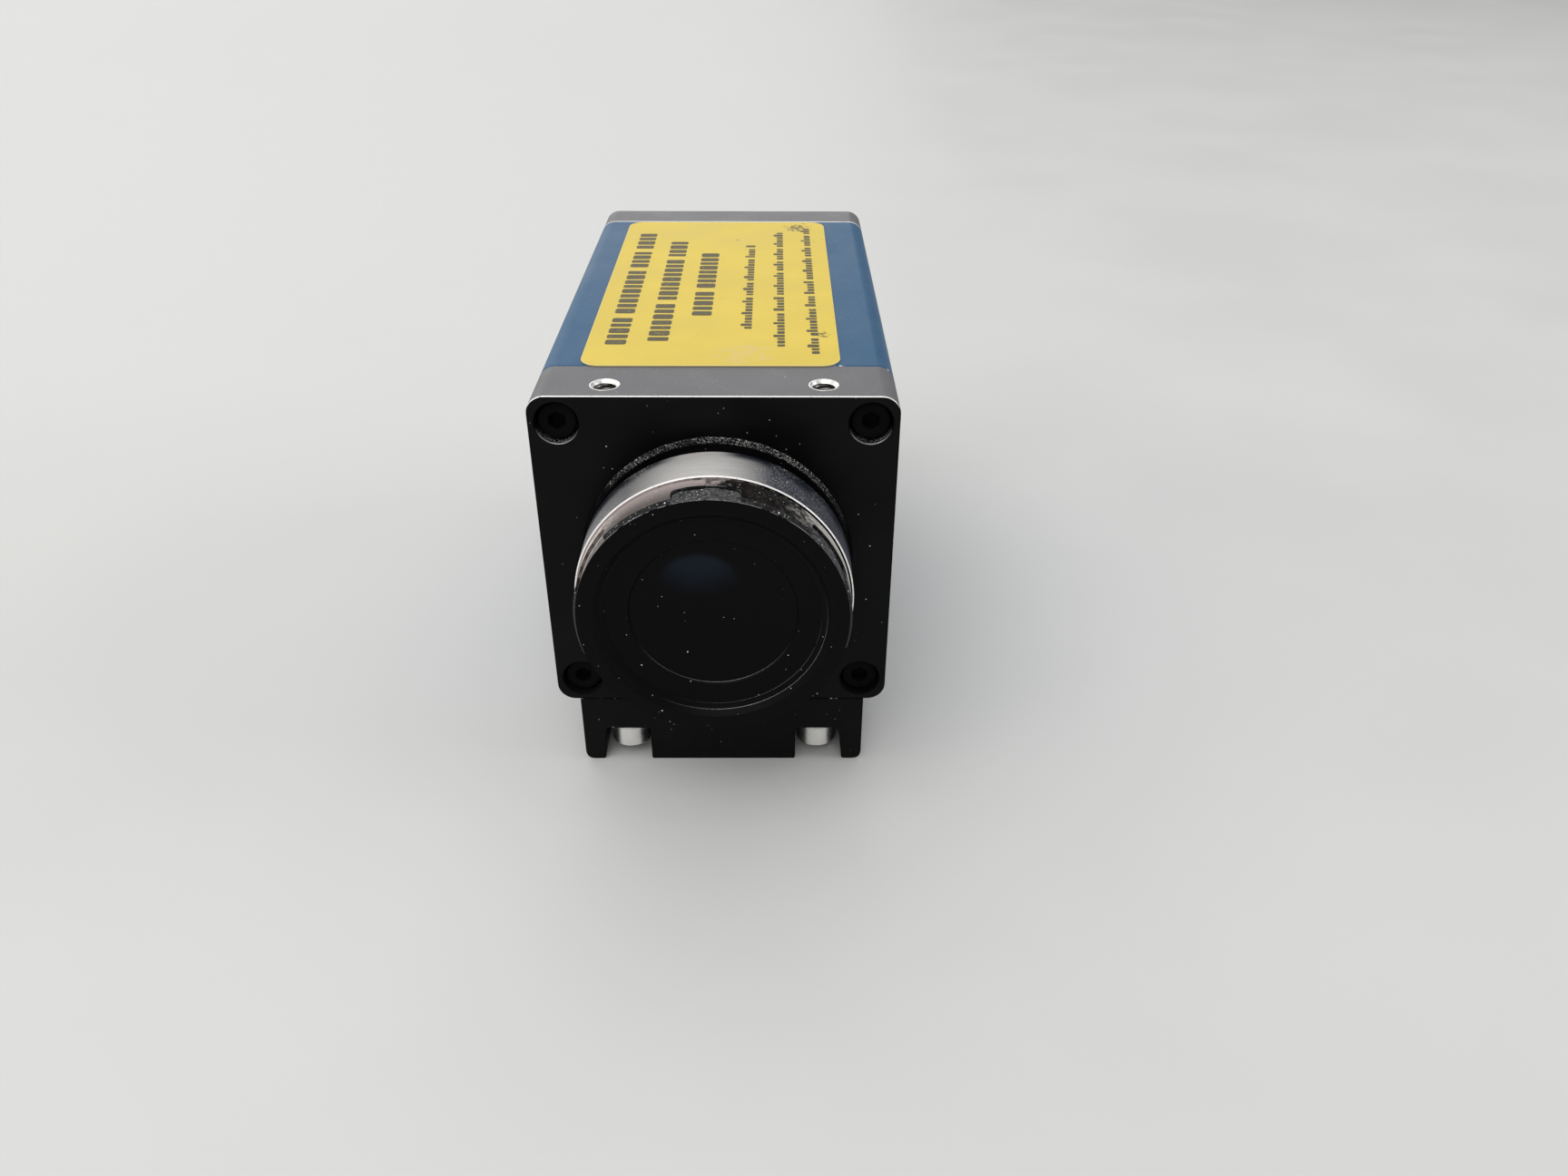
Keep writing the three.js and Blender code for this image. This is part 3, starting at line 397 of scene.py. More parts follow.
class Graph:
    """A new entry in MATERIALS, with short names for the nodes that the materials share. Sizes are
    in millimetres on the object."""

    def __init__(self, name):
        self.material = bpy.data.materials.new(name)
        MATERIALS[name] = self.material
        self.material.use_nodes = True
        self.nodes = self.material.node_tree.nodes
        self.links = self.material.node_tree.links
        self.shader = self.nodes["Principled BSDF"]
        coordinates = self.nodes.new("ShaderNodeTexCoord")
        self.place = coordinates.outputs["Object"]
        self.normal = coordinates.outputs["Normal"]

    def add(self, kind, inputs, **settings):
        node = self.nodes.new(kind)
        for key, value in settings.items():
            setattr(node, key, value)
        for key, value in inputs.items():
            self.feed(node.inputs[key], value)
        return node

    def feed(self, socket, value):
        if isinstance(value, bpy.types.NodeSocket):
            self.links.new(value, socket)
        else:
            socket.default_value = value

    def stretch(self, x=1.0, y=1.0, z=1.0):
        return self.add("ShaderNodeMapping", {"Vector": self.place, "Scale": (x, y, z)}).outputs[0]

    def noise(self, size, detail=3.0, vector=None):
        inputs = {"Vector": vector or self.place, "Scale": 1 / (size * MM), "Detail": detail}
        return self.add("ShaderNodeTexNoise", inputs).outputs["Fac"]

    def cells(self, size):
        inputs = {"Vector": self.place, "Scale": 1 / (size * MM)}
        return self.add("ShaderNodeTexVoronoi", inputs).outputs["Distance"]

    def fade(self, value, start, end, low=0.0, high=1.0):
        """Runs smoothly from low to high as value goes from start to end."""
        inputs = {"Value": value, "From Min": start, "From Max": end, "To Min": low, "To Max": high}
        node = self.add("ShaderNodeMapRange", inputs, interpolation_type="SMOOTHSTEP")
        return node.outputs[0]

    def vary(self, noise, low=0.0, high=1.0):
        """Runs from low to high over most of a noise's values."""
        return self.fade(noise, 0.3, 0.7, low, high)

    def maths(self, operation, a, b):
        return self.add("ShaderNodeMath", {0: a, 1: b}, operation=operation).outputs[0]

    def times(self, a, b):
        return self.maths("MULTIPLY", a, b)

    def most(self, a, b):
        return self.maths("MAXIMUM", a, b)

    def mix(self, share, a, b):
        node = self.add("ShaderNodeMix", {"Factor": share, "A": a, "B": b}, data_type="RGBA")
        return node.outputs["Result"]

    def facing(self, direction, start, end):
        """Fades in as the surface turns to face a direction. start and end are cosines."""
        inputs = {0: self.normal, 1: direction}
        node = self.add("ShaderNodeVectorMath", inputs, operation="DOT_PRODUCT")
        return self.fade(node.outputs["Value"], start, end)

    def upward(self):
        """1 where the surface faces up, 0 where it faces sideways or down."""
        return self.facing((0, 0, 1), 0.15, 0.95)

    def depth(self, start, end):
        """Fades in along Y, between two places in the housing's frame."""
        parts = self.add("ShaderNodeSeparateXYZ", {"Vector": self.place})
        return self.fade(parts.outputs["Y"], ORIGIN.y + start * MM, ORIGIN.y + end * MM)

    def away(self, centre):
        """Distance in millimetres from a place in the housing's frame."""
        inputs = {0: self.place, 1: tuple(TO_ROW @ Vector(centre))}
        node = self.add("ShaderNodeVectorMath", inputs, operation="DISTANCE")
        return self.times(node.outputs["Value"], 1 / MM)

    def spot(self, centre, radius, ragged):
        """A ragged round patch about a place in the housing's frame."""
        edge = self.vary(self.noise(ragged, 4.0), -radius * 0.9, radius * 0.9)
        return self.fade(self.maths("ADD", self.away(centre), edge), radius, radius * 0.6)

    def sideways(self):
        """How far the surface turns to the right, from -1 to 1."""
        return self.add("ShaderNodeSeparateXYZ", {"Vector": self.normal}).outputs["X"]

    def bump(self, height, depth):
        node = self.add("ShaderNodeBump", {"Height": height, "Distance": depth * MM})
        self.links.new(node.outputs[0], self.shader.inputs["Normal"])

    def set(self, **sockets):
        """Feeds the shader's own sockets. Underscores in a name stand for spaces."""
        for key, value in sockets.items():
            self.feed(self.shader.inputs[key.replace("_", " ")], value)


def shade(value):
    """A grey."""
    return (value, value, value, 1)


BLACK = (0.002, 0.002, 0.0023, 1)
BARE = (0.88, 0.87, 0.85, 1)
WHITE_DUST = (0.88, 0.87, 0.85, 1)
COOL_DUST = (0.84, 0.84, 0.88, 1)


def loose_specks(graph, size, reach):
    """Round bright specks of radius reach, about size apart, in millimetres. Only the cells whose
    middle lies close to the surface show one."""
    return graph.fade(graph.cells(size), reach / size, reach / size * 0.6)


def dust_mask(graph, haze, powder, specks):
    """Dust as a number: an even haze and patchy powder on what faces up, and loose specks
    everywhere."""
    patches = graph.fade(graph.noise(5.0), 0.35, 0.65)
    fine = graph.fade(graph.noise(0.16, 1.0), 0.5, 0.72)
    powdered = graph.times(graph.times(patches, fine), powder)
    lying = graph.times(graph.upward(), graph.most(powdered, haze))
    crumbs = loose_specks(graph, 3.3, 0.1)
    grains = graph.times(loose_specks(graph, 1.3, 0.065), patches)
    loose = graph.times(graph.most(crumbs, grains), specks)
    return graph.most(lying, loose)


def anodised(name, colour, rough, haze=0.1, powder=0.3, specks=0.8, specular=0.08):
    """Fine-blasted anodised aluminium with a little dust."""
    graph = Graph(name)
    grain = graph.noise(0.07, 2.0)
    cloud = graph.noise(9.0)
    lighter = tuple(min(1.0, channel * 1.4 + 0.001) for channel in colour[:3]) + (1,)
    dust = dust_mask(graph, haze, powder, specks)
    base = graph.mix(graph.vary(cloud), colour, lighter)
    graph.set(Base_Color=graph.mix(dust, base, COOL_DUST))
    satin = graph.vary(cloud, rough - 0.04, rough + 0.05)
    graph.set(Roughness=graph.most(satin, graph.times(dust, 0.9)))
    graph.set(Specular_IOR_Level=specular)
    graph.bump(grain, 0.006)


def ring_with_painted_light():
    """The lens mount's satin side with painted light: a painted highlight over the top, painted
    lighter grey to its left, and painted blue-black shade low down and along its rear edge, with
    loose dust."""
    graph = Graph("ring_anodised_painted_light")
    turning = graph.noise(0.6, 3.0, graph.stretch(0.15, 1, 0.15))
    across = graph.sideways()
    # Painted highlight over the top, where the side faces up.
    rubbed = graph.facing((-0.09, 0, 0.99), 0.84, 1.02)
    # Painted light on the part that faces left.
    painted_left_light = graph.facing((-1, 0, 0), -0.1, 0.5)
    # Painted shade from the flange: 0 along the rear edge, 1 further out in front.
    clear_of_flange_shade = graph.depth(REAR_OF_RING - 1.0, REAR_OF_RING - 3.0)
    # The side's colour under painted light: lighter grey on the left, blue-black in the flange's painted
    # shade.
    grey = graph.mix(painted_left_light, (0.05, 0.055, 0.075, 1), (0.28, 0.28, 0.29, 1))
    low = graph.mix(clear_of_flange_shade, (0.006, 0.009, 0.02, 1), grey)
    light = graph.mix(rubbed, low, (0.68, 0.665, 0.65, 1))
    # Painted blue-black shade on the sides near the rear edge.
    sides = graph.most(graph.fade(across, 0.02, 0.2), graph.fade(across, -0.2, -0.45))
    rear = graph.depth(REAR_OF_RING - 1.8, REAR_OF_RING - 0.5)
    base = graph.mix(graph.times(sides, rear), light, (0.006, 0.009, 0.02, 1))
    worn = graph.mix(graph.fade(turning, 0.4, 0.7, 0, 0.15), base, (0.1, 0.1, 0.12, 1))
    flecks = graph.times(loose_specks(graph, 0.8, 0.07), graph.times(graph.upward(), 0.6))
    loose = graph.most(dust_mask(graph, 0.0, 0.6, 1.0), flecks)
    dust = graph.times(loose, graph.fade(rubbed, 0, 1, 1.0, 0.2))
    graph.set(Base_Color=graph.mix(dust, worn, WHITE_DUST))
    graph.set(Metallic=graph.fade(dust, 0, 1, 0.55, 0.0))
    graph.set(Roughness=graph.vary(turning, 0.42, 0.52))
    graph.bump(graph.noise(0.07, 2.0), 0.003)


def worn_and_lit_edge(name, dark, worn, share, lit_from=(0, 0, 1), metal=0.7):
    """An edge rubbed through to bright metal in places. A larger share leaves less black. The bright
    metal stays on the parts that face a given direction, the light's, as painted highlight along
    with the wear, and on all of them where no direction is given."""
    graph = Graph(name)
    rub = graph.noise(1.4, 4.0)
    fine = graph.noise(0.25, 2.0)
    mask = graph.times(
        graph.fade(rub, 0.62 - 0.4 * share, 0.72 - 0.4 * share),
        graph.fade(fine, 0.2, 0.4),
    )
    # Painted highlight: the bright metal shows only where the edge faces the light.
    if lit_from:
        mask = graph.times(mask, graph.facing(lit_from, 0.2, 0.6))
    graph.set(Base_Color=graph.mix(mask, dark, worn))
    graph.set(Metallic=graph.times(mask, metal))
    graph.set(Roughness=graph.fade(mask, 0, 1, 0.45, 0.36), Specular_IOR_Level=0.03)
    graph.bump(fine, 0.008)


def steel(name, colour, rough, stained=0.72):
    """Turned metal, a little darker in patches."""
    graph = Graph(name)
    turning = graph.noise(0.4, 3.0)
    stain = graph.noise(1.8, 3.0)
    darker = tuple(channel * stained for channel in colour[:3]) + (1,)
    graph.set(Base_Color=graph.mix(graph.fade(stain, 0.35, 0.7), colour, darker))
    graph.set(Metallic=1.0)
    graph.set(Roughness=graph.vary(turning, rough - 0.06, rough + 0.1))
    graph.bump(turning, 0.004)


def plastic(name, colour, rough, haze=0.0, powder=0.0, specks=0.0, specular=0.5):
    graph = Graph(name)
    grain = graph.noise(0.12, 2.0)
    dust = dust_mask(graph, haze, powder, specks)
    graph.set(Base_Color=graph.mix(dust, colour, WHITE_DUST))
    graph.set(Roughness=graph.most(graph.vary(grain, rough - 0.03, rough + 0.06), dust))
    graph.set(Specular_IOR_Level=specular)
    graph.bump(grain, 0.004)


def cap_side_with_painted_reflections():
    """The dust cap's turned side with painted reflections: a pinkish painted reflection from its top
    to its left, palest low down on the left, black to the right of the top, and a greyer painted
    reflection at the right. The painted reflections are strongest along the rear."""
    graph = Graph("cap_side_painted_reflections")
    cloud = graph.noise(3.0, 3.0)
    torn = graph.vary(graph.noise(0.7, 4.0), -0.1, 0.1)
    across = graph.maths("ADD", graph.sideways(), torn)
    # Painted reflections picked by facing: pinkish to the left, palest low on the left, greyer at the right.
    painted_left_light = graph.fade(across, 0.16, -0.1)
    pale = graph.fade(across, -0.62, -0.97)
    right_reflection = graph.fade(across, 0.52, 0.8)
    black = graph.mix(graph.fade(cloud, 0.35, 0.7), BLACK, (0.009, 0.007, 0.006, 1))
    pink = graph.mix(painted_left_light, black, (0.33, 0.285, 0.275, 1))
    left_reflections = graph.mix(pale, pink, (0.78, 0.73, 0.68, 1))
    whole = graph.mix(right_reflection, left_reflections, (0.5, 0.475, 0.45, 1))
    # The painted reflections are dimmed near the front, most of the way to black.
    rear_reflection_share = graph.depth(CAP_FRONT + 0.7, REAR_OF_CAP + 0.6)
    base = graph.mix(rear_reflection_share, graph.mix(0.7, whole, black), whole)
    flecks = graph.times(loose_specks(graph, 0.8, 0.09), graph.upward())
    dust = graph.most(dust_mask(graph, 0.0, 0.1, 0.8), graph.times(flecks, 0.6))
    graph.set(Base_Color=graph.mix(dust, base, WHITE_DUST))
    graph.set(Roughness=graph.vary(cloud, 0.36, 0.46), Specular_IOR_Level=0.03)
    graph.bump(graph.noise(0.12, 2.0), 0.002)


def gritty(name, cover):
    """Dull black covered with fine pale grit. A larger cover leaves less black between the grains."""
    graph = Graph(name)
    fine = graph.times(loose_specks(graph, 0.4, 0.08), 0.45)
    flecks = graph.most(fine, graph.times(loose_specks(graph, 0.85, 0.12), 0.9))
    veil = graph.fade(graph.noise(0.5, 4.0), 0.3, 0.75, cover * 0.2, cover)
    grit = graph.times(graph.most(flecks, veil), graph.facing((0, 0, 1), -0.2, 0.6))
    graph.set(Base_Color=graph.mix(grit, BLACK, (0.85, 0.86, 0.88, 1)))
    graph.set(Roughness=graph.fade(grit, 0, 1, 0.5, 0.9), Specular_IOR_Level=0.08)
    graph.bump(flecks, 0.03)


def dull_face(name, reflection_colour=BLACK):
    """The dust cap's dull black, with a painted reflection of another colour in the upper part of its
    dish.
    """
    graph = Graph(name)
    # Painted reflection: a round patch in the upper part of the dish, strongest near its top.
    dome = graph.fade(graph.away((-1.6, CAP_FRONT + 2, AXIS + 2.9)), 5.5, 4.4)
    upper = graph.fade(graph.away((-1.6, CAP_FRONT + 2, AXIS + 9.0)), 7.5, 2.5)
    base = graph.mix(graph.times(dome, upper), BLACK, reflection_colour)
    graph.set(Base_Color=graph.mix(dust_mask(graph, 0.0, 0.0, 1.0), base, WHITE_DUST))
    graph.set(Roughness=graph.vary(graph.noise(0.12, 2.0), 0.4, 0.5), Specular_IOR_Level=0.06)
    graph.bump(graph.noise(0.12, 2.0), 0.004)


def blue_paint():
    graph = Graph("blue_paint")
    cloud = graph.noise(14.0)
    orange_peel = graph.noise(0.3, 2.0)
    dust = dust_mask(graph, 0.0, 0.06, 0.4)
    base = graph.mix(graph.vary(cloud), (0.024, 0.087, 0.175, 1), (0.029, 0.095, 0.189, 1))
    graph.set(Base_Color=graph.mix(dust, base, WHITE_DUST))
    graph.set(Roughness=graph.vary(cloud, 0.4, 0.48), Specular_IOR_Level=0.12)
    graph.bump(orange_peel, 0.006)


def label_film():
    """Printed yellow film, slightly rubbed, with a pale stain, a dark scuff and a torn-looking
    corner at the rear."""
    graph = Graph("yellow_label")
    cloud = graph.noise(11.0)
    rub = graph.fade(graph.noise(1.2, 5.0), 0.66, 0.8)
    marks = graph.fade(graph.cells(7.0), 0.045, 0.02)
    base = graph.mix(graph.vary(cloud), (0.62, 0.47, 0.065, 1), (0.68, 0.52, 0.09, 1))
    stained = graph.mix(graph.times(graph.spot((3.5, 13.5, SIDE), 2.6, 1.2), 0.4), base, (0.62, 0.47, 0.2, 1))
    rubbed = graph.mix(graph.times(rub, 0.3), stained, (0.42, 0.32, 0.07, 1))
    scuffed = graph.most(
        graph.spot((13.4, 20.0, SIDE), 0.8, 0.5),
        graph.spot((11.0, 70.0, SIDE), 1.7, 0.6),
    )
    dark = graph.times(graph.most(marks, scuffed), 0.75)
    graph.set(Base_Color=graph.mix(dark, rubbed, (0.09, 0.075, 0.04, 1)))
    graph.set(Roughness=graph.vary(cloud, 0.42, 0.54), Specular_IOR_Level=0.12)
    graph.bump(graph.noise(2.2, 3.0), 0.012)


def label_ink():
    graph = Graph("label_ink")
    wear = graph.fade(graph.noise(0.5, 4.0), 0.6, 0.75)
    graph.set(Base_Color=graph.mix(graph.times(wear, 0.6), (0.085, 0.07, 0.033, 1), (0.5, 0.38, 0.1, 1)))
    graph.set(Roughness=graph.fade(wear, 0, 1, 0.45, 0.6), Specular_IOR_Level=0.12)


def rubber():
    graph = Graph("rubber")
    grain = graph.noise(0.1, 3.0)
    graph.set(Base_Color=graph.mix(graph.vary(grain), shade(0.012), shade(0.02)))
    graph.set(Roughness=graph.vary(grain, 0.75, 0.9))
    graph.bump(grain, 0.01)


def coated_glass():
    graph = Graph("glass")
    smear = graph.noise(3.0, 2.0)
    graph.set(Base_Color=(0.55, 0.72, 0.85, 1), Transmission_Weight=1.0, IOR=1.5)
    graph.set(Roughness=graph.fade(smear, 0.4, 0.8, 0.02, 0.08))


def circuit_board():
    """Solder mask over faint copper tracks."""
    graph = Graph("circuit_board")
    tracks = graph.fade(graph.noise(0.9, 1.0, graph.stretch(1, 0.15, 1)), 0.49, 0.51)
    graph.set(Base_Color=graph.mix(tracks, (0.012, 0.075, 0.035, 1), (0.02, 0.12, 0.055, 1)))
    graph.set(Roughness=graph.fade(tracks, 0, 1, 0.35, 0.45))
    graph.bump(tracks, 0.02)


def clear_light():
    graph = Graph("clear_light")
    smear = graph.noise(0.8, 2.0)
    graph.set(Base_Color=(0.75, 0.9, 0.75, 1), Transmission_Weight=0.6, IOR=1.49)
    graph.set(Roughness=graph.vary(smear, 0.15, 0.3))


def build_materials():
    anodised("grey_anodised", BLACK, 0.36, haze=0.16)
    ring_with_painted_light()
    anodised("black_anodised", BLACK, 0.42, haze=0.05)
    # The worn edges below keep their bright metal to faces turned to the light: wear with painted highlight.
    # The ring's edge is worn all round.
    worn_and_lit_edge("flange_edge", BLACK, BARE, 1.05, metal=0.4)
    worn_and_lit_edge("bore_rim_painted_highlight", BLACK, (0.3, 0.3, 0.31, 1), 0.85)
    worn_and_lit_edge("ring_edge", BLACK, BARE, 1.5, lit_from=None, metal=0.3)
    worn_and_lit_edge("foot_edge", BLACK, BARE, 0.12)
    worn_and_lit_edge("cap_edge", BLACK, shade(0.12), 0.3)
    plastic("dusty_rim", BLACK, 0.5, haze=0.02, powder=1.1, specks=1.0, specular=0.02)
    blue_paint()
    worn_and_lit_edge("blue_edge", (0.02, 0.08, 0.18, 1), BARE, 0.1)
    dull_face("black_plastic")
    # The dish's blue-black colour is a painted reflection.
    dull_face("cap_dish_painted_reflection", (0.0075, 0.011, 0.019, 1))
    cap_side_with_painted_reflections()
    gritty("cap_grip", 0.12)
    gritty("cap_chamfer", 0.035)
    worn_and_lit_edge("cap_rim", BLACK, (0.3, 0.3, 0.32, 1), 0.6)
    # Thin painted highlights on the dish's rim and on the face's steps, where they face the light.
    worn_and_lit_edge("dish_line", BLACK, (0.16, 0.16, 0.18, 1), 1.3)
    worn_and_lit_edge("step_line", BLACK, shade(0.3), 0.8, lit_from=(-0.6, 0, 0.8))
    plastic("bore_black", BLACK, 0.5, powder=0.5, specks=1.0, specular=0.03)
    # A flat black without reflection or dust for the lower counterbores: painted shade.
    plastic("hole_painted_shade", shade(0.006), 0.6, specular=0.0)
    plastic("socket_plastic", (0.012, 0.012, 0.013, 1), 0.45)
    steel("steel", (0.75, 0.74, 0.72, 1), 0.26)
    steel("bright_steel", (0.95, 0.94, 0.92, 1), 0.34, stained=0.92)
    steel("shaded_steel", (0.22, 0.21, 0.2, 1), 0.3)
    plastic("black_steel", shade(0.004), 0.5, specks=0.6, specular=0.02)
    steel("aluminium", shade(0.8), 0.35)
    steel("gold", (0.95, 0.68, 0.3, 1), 0.22)
    label_film()
    plastic("label_rim", (0.78, 0.68, 0.34, 1), 0.5, specular=0.12)
    label_ink()
    rubber()
    coated_glass()
    plastic("ceramic", (0.09, 0.075, 0.065, 1), 0.6)
    plastic("silicon", (0.05, 0.035, 0.09, 1), 0.12)
    circuit_board()
    plastic("chip_resin", (0.012, 0.012, 0.013, 1), 0.55)
    plastic("thermal_pad", (0.35, 0.42, 0.5, 1), 0.85)
    clear_light()


def paint_kept_nodes():
    """Gives every CAD node the material of its slot. The nodes that no new piece replaces keep it."""
    for entry in frame["record"]["subparts"]:
        node = frame["nodes"][entry["node"]]
        node.data.materials.clear()
        node.data.materials.append(MATERIALS[entry["material_slot"]])


# --- housing

SEAM_GAP = 0.02  # between neighbouring pieces
OVERRUN = 2.0  # how far a cutter runs past the face it opens
COUNTERBORE_RADIUS = 2.6
COUNTERBORE_DEPTH = 3.4
SCREW_HOLE_RADIUS = 1.5
FLANGE_BEVEL = 0.16
FLANGE_HOLES_END = 12.0
BORE_RADIUS = NECK_RADIUS + 0.3
INSERT_HOLE_RADIUS = 1.66  # the bush's rim laps over the hole's edge
INSERT_HOLE_FLOOR = 39.0
SIDE_HOLE_RADIUS = 1.3
SIDE_HOLE_DEPTH = 8.0
SCREW_CENTRES = [middle(f"front_screw_{corner}") for corner in CORNERS]
CORNER_PLACES = [(centre.x, centre.z) for centre in SCREW_CENTRES]


def counterbore(x, z, start, floor, end):
    """The wide hole for a screw's head, from start to its floor, and the screw's hole beyond it."""
    wide, narrow = COUNTERBORE_RADIUS, SCREW_HOLE_RADIUS
    profile = [(0, start), (wide, start), (wide, floor), (narrow, floor), (narrow, end), (0, end)]
    return turned("counterbore", profile, x, z, SMALL_ROUND)


def in_corner(point, margin):
    """Whether a point lies in a corner's counterbore or no further than a margin outside it."""
    return any(distance(point, x, z) < COUNTERBORE_RADIUS + margin for x, z in CORNER_PLACES)


def side_hole(screw):
    """The hole of a set screw, from the side of the housing inwards."""
    radius, length = SIDE_HOLE_RADIUS, SIDE_HOLE_DEPTH + 1
    profile = [(0, 0), (radius, 0), (radius, length), (0, length)]
    hole = turned("side_hole", profile, facets=SMALL_ROUND, upright=(0, 0))
    turn = Matrix.Rotation(math.copysign(math.pi / 2, screw.x), 4, "Y")
    inner_end = (math.copysign(AXIS - SIDE_HOLE_DEPTH, screw.x), screw.y, AXIS)
    hole.data.transform(Matrix.Translation(inner_end) @ turn)
    return hole


FLANGE_MATERIALS = ("grey_anodised", "flange_edge", "dusty_rim", "bore_black", "bore_rim_painted_highlight", "hole_painted_shade")


def paint_flange(flange, name, chosen):
    paint_faces(flange, FLANGE_MATERIALS, name, chosen)


def repaint_rims(flange):
    """After the bevel, the boss's side, the powder line in its corner and the counterbores' rims
    are no longer worn edges. The lower rims get painted shade, the upper ones a painted highlight
    with wear."""

    def on_rim(at):
        return 0 < at.y < 0.3 and in_corner(at, 0.2)

    def on_boss(reach, at):
        return at.y < -0.01 and BOSS_RADIUS - 0.25 < reach < BOSS_FOOT_RADIUS + FLANGE_BEVEL

    paint_flange(flange, "hole_painted_shade", lambda reach, at: at.z < AXIS and on_rim(at))
    paint_flange(flange, "bore_rim_painted_highlight", lambda reach, at: at.z > AXIS and on_rim(at))
    paint_flange(flange, "bore_black", on_boss)
    paint_flange(flange, "dusty_rim", lambda reach, at: at.y > -FLANGE_BEVEL and on_boss(reach, at))


def square_block(name, front, rear):
    """A block with the housing's outline."""
    return prism(name, rounded_rectangle(SIDE, SIDE, CORNER_RADIUS, 0, AXIS), front, rear)


def build_front_flange():
    body = square_block("front_flange_detail", 0, FLANGE_SEAM - SEAM_GAP)
    boss = [
        (0, 1),
        (0, -BOSS_HEIGHT),
        (BOSS_RADIUS, -BOSS_HEIGHT, 0.2),
        (BOSS_FOOT_RADIUS, 0),
        (BOSS_FOOT_RADIUS, 1),
    ]
    join(body, turned("boss", fillet(boss, 0)))
    cutters = [rod("bore", BORE_RADIUS, -OVERRUN, FLANGE_HOLES_END, 0, AXIS, ROUND)]
    for x, z in CORNER_PLACES:
        cutters.append(counterbore(x, z, -OVERRUN, COUNTERBORE_DEPTH, FLANGE_HOLES_END))
    for side in SIDES:
        place = middle(f"top_thread_insert_{side}")
        ends = (INSERT_HOLE_FLOOR, SIDE + 1)
        cutters.append(upright_rod("insert_hole", INSERT_HOLE_RADIUS, *ends, place.x, place.y))
        cutters.append(side_hole(middle(f"mount_set_screw_{side}")))
    cut(body, *cutters)
    # The upper counterbores get the dusty black. The lower ones get a flat black without reflection or dust:
    # painted shade.
    for name, upper in (("bore_black", True), ("hole_painted_shade", False)):
        paint_flange(
            body,
            name,
            lambda reach, at: at.y > 0.05 and (at.z > AXIS) == upper and in_corner(at, 0.02),
        )
    dress(body, FLANGE_MATERIALS, "front_flange", bevel=FLANGE_BEVEL, touch_up=repaint_rims)


SHELL_WALL = 2.2
SHELL_INNER_CORNER = 1.0


def build_body_shell():
    body = square_block("body_shell_detail", FLANGE_SEAM + SEAM_GAP, PANEL_SEAM - SEAM_GAP)
    inside = SIDE - 2 * SHELL_WALL
    inner = rounded_rectangle(inside, inside, SHELL_INNER_CORNER, 0, AXIS)
    cut(body, prism("hollow", inner, 0, LENGTH))
    dress(body, ("blue_paint", "blue_edge"), "body_shell", bevel=0.1)


SOCKET_CORNER = 1.0
SOCKET_GAP = 0.15
JACK_RADIUS = 0.85  # the screw holes beside each bus socket
JACK_SPACING = 9.9
JACK_DEPTH = 4.0
IO_HOLE_RADIUS = 5.75
LIGHT_HOLE_RADIUS = 1.62


def build_rear_panel():
    body = square_block("rear_panel_detail", PANEL_SEAM + SEAM_GAP, LENGTH)
    inner, outer = PANEL_SEAM - OVERRUN, LENGTH + OVERRUN
    cutters = []
    for x, z in CORNER_PLACES:
        cutters.append(counterbore(x, z, outer, LENGTH - COUNTERBORE_DEPTH, inner))
    for place in ("upper", "lower"):
        low, high, centre = span(f"bus_socket_shell_{place}")
        size = high - low
        width, height = size.x + 2 * SOCKET_GAP, size.z + 2 * SOCKET_GAP
        slot = rounded_rectangle(width, height, SOCKET_CORNER + SOCKET_GAP, centre.x, centre.z)
        cutters.append(prism("slot", slot, inner, outer))
        for jack_x in (centre.x - JACK_SPACING, centre.x + JACK_SPACING):
            cutters.append(rod("jack_hole", JACK_RADIUS, LENGTH - JACK_DEPTH, outer, jack_x, centre.z))
    for node, radius in (("io_connector_shell", IO_HOLE_RADIUS), ("status_light", LIGHT_HOLE_RADIUS)):
        centre = middle(node)
        cutters.append(rod("round_hole", radius, inner, outer, centre.x, centre.z))
    cut(body, *cutters)
    dress(body, ("grey_anodised", "flange_edge"), "rear_panel", bevel=0.2, segments=3)


LABEL_TOP = SIDE + 0.2
LABEL_CORNER = 2.5
MARK_HEIGHT = 0.02


def build_label():
    low, high, centre = span("top_label")
    size = high - low
    outline = rounded_rectangle(size.x, size.y, LABEL_CORNER, centre.x, centre.y, 12)
    sheet = slab("top_label_detail", outline, SIDE + SEAM_GAP, LABEL_TOP)
    dress(sheet, ("yellow_label", "label_rim"), "top_label", bevel=0.06)
    build_label_marks(low, high)


# Printed lines as plain blocks that spell nothing: (place across the label as a share of its
# width, block height in millimetres, start and end as shares of the label's length).
LABEL_LINES = (
    (0.115, 2.7, 0.11, 0.9),
    (0.28, 2.7, 0.13, 0.86),
    (0.44, 2.7, 0.28, 0.72),
    (0.63, 1.5, 0.2, 0.8),
    (0.765, 1.5, 0.1, 0.9),
    (0.9, 1.5, 0.06, 0.94),
)
WORD_COUNTS = (5, 11, 4, 8, 7, 9)
BLOCK_SHARES = (0.62, 0.5, 0.68, 0.44, 0.6, 0.7, 0.52)
BLOCK_GAP = 0.2
WORD_GAP = 0.5
LOW_BLOCK = 0.66
TALL_EVERY = 4
LINE_END_GAP = 0.4


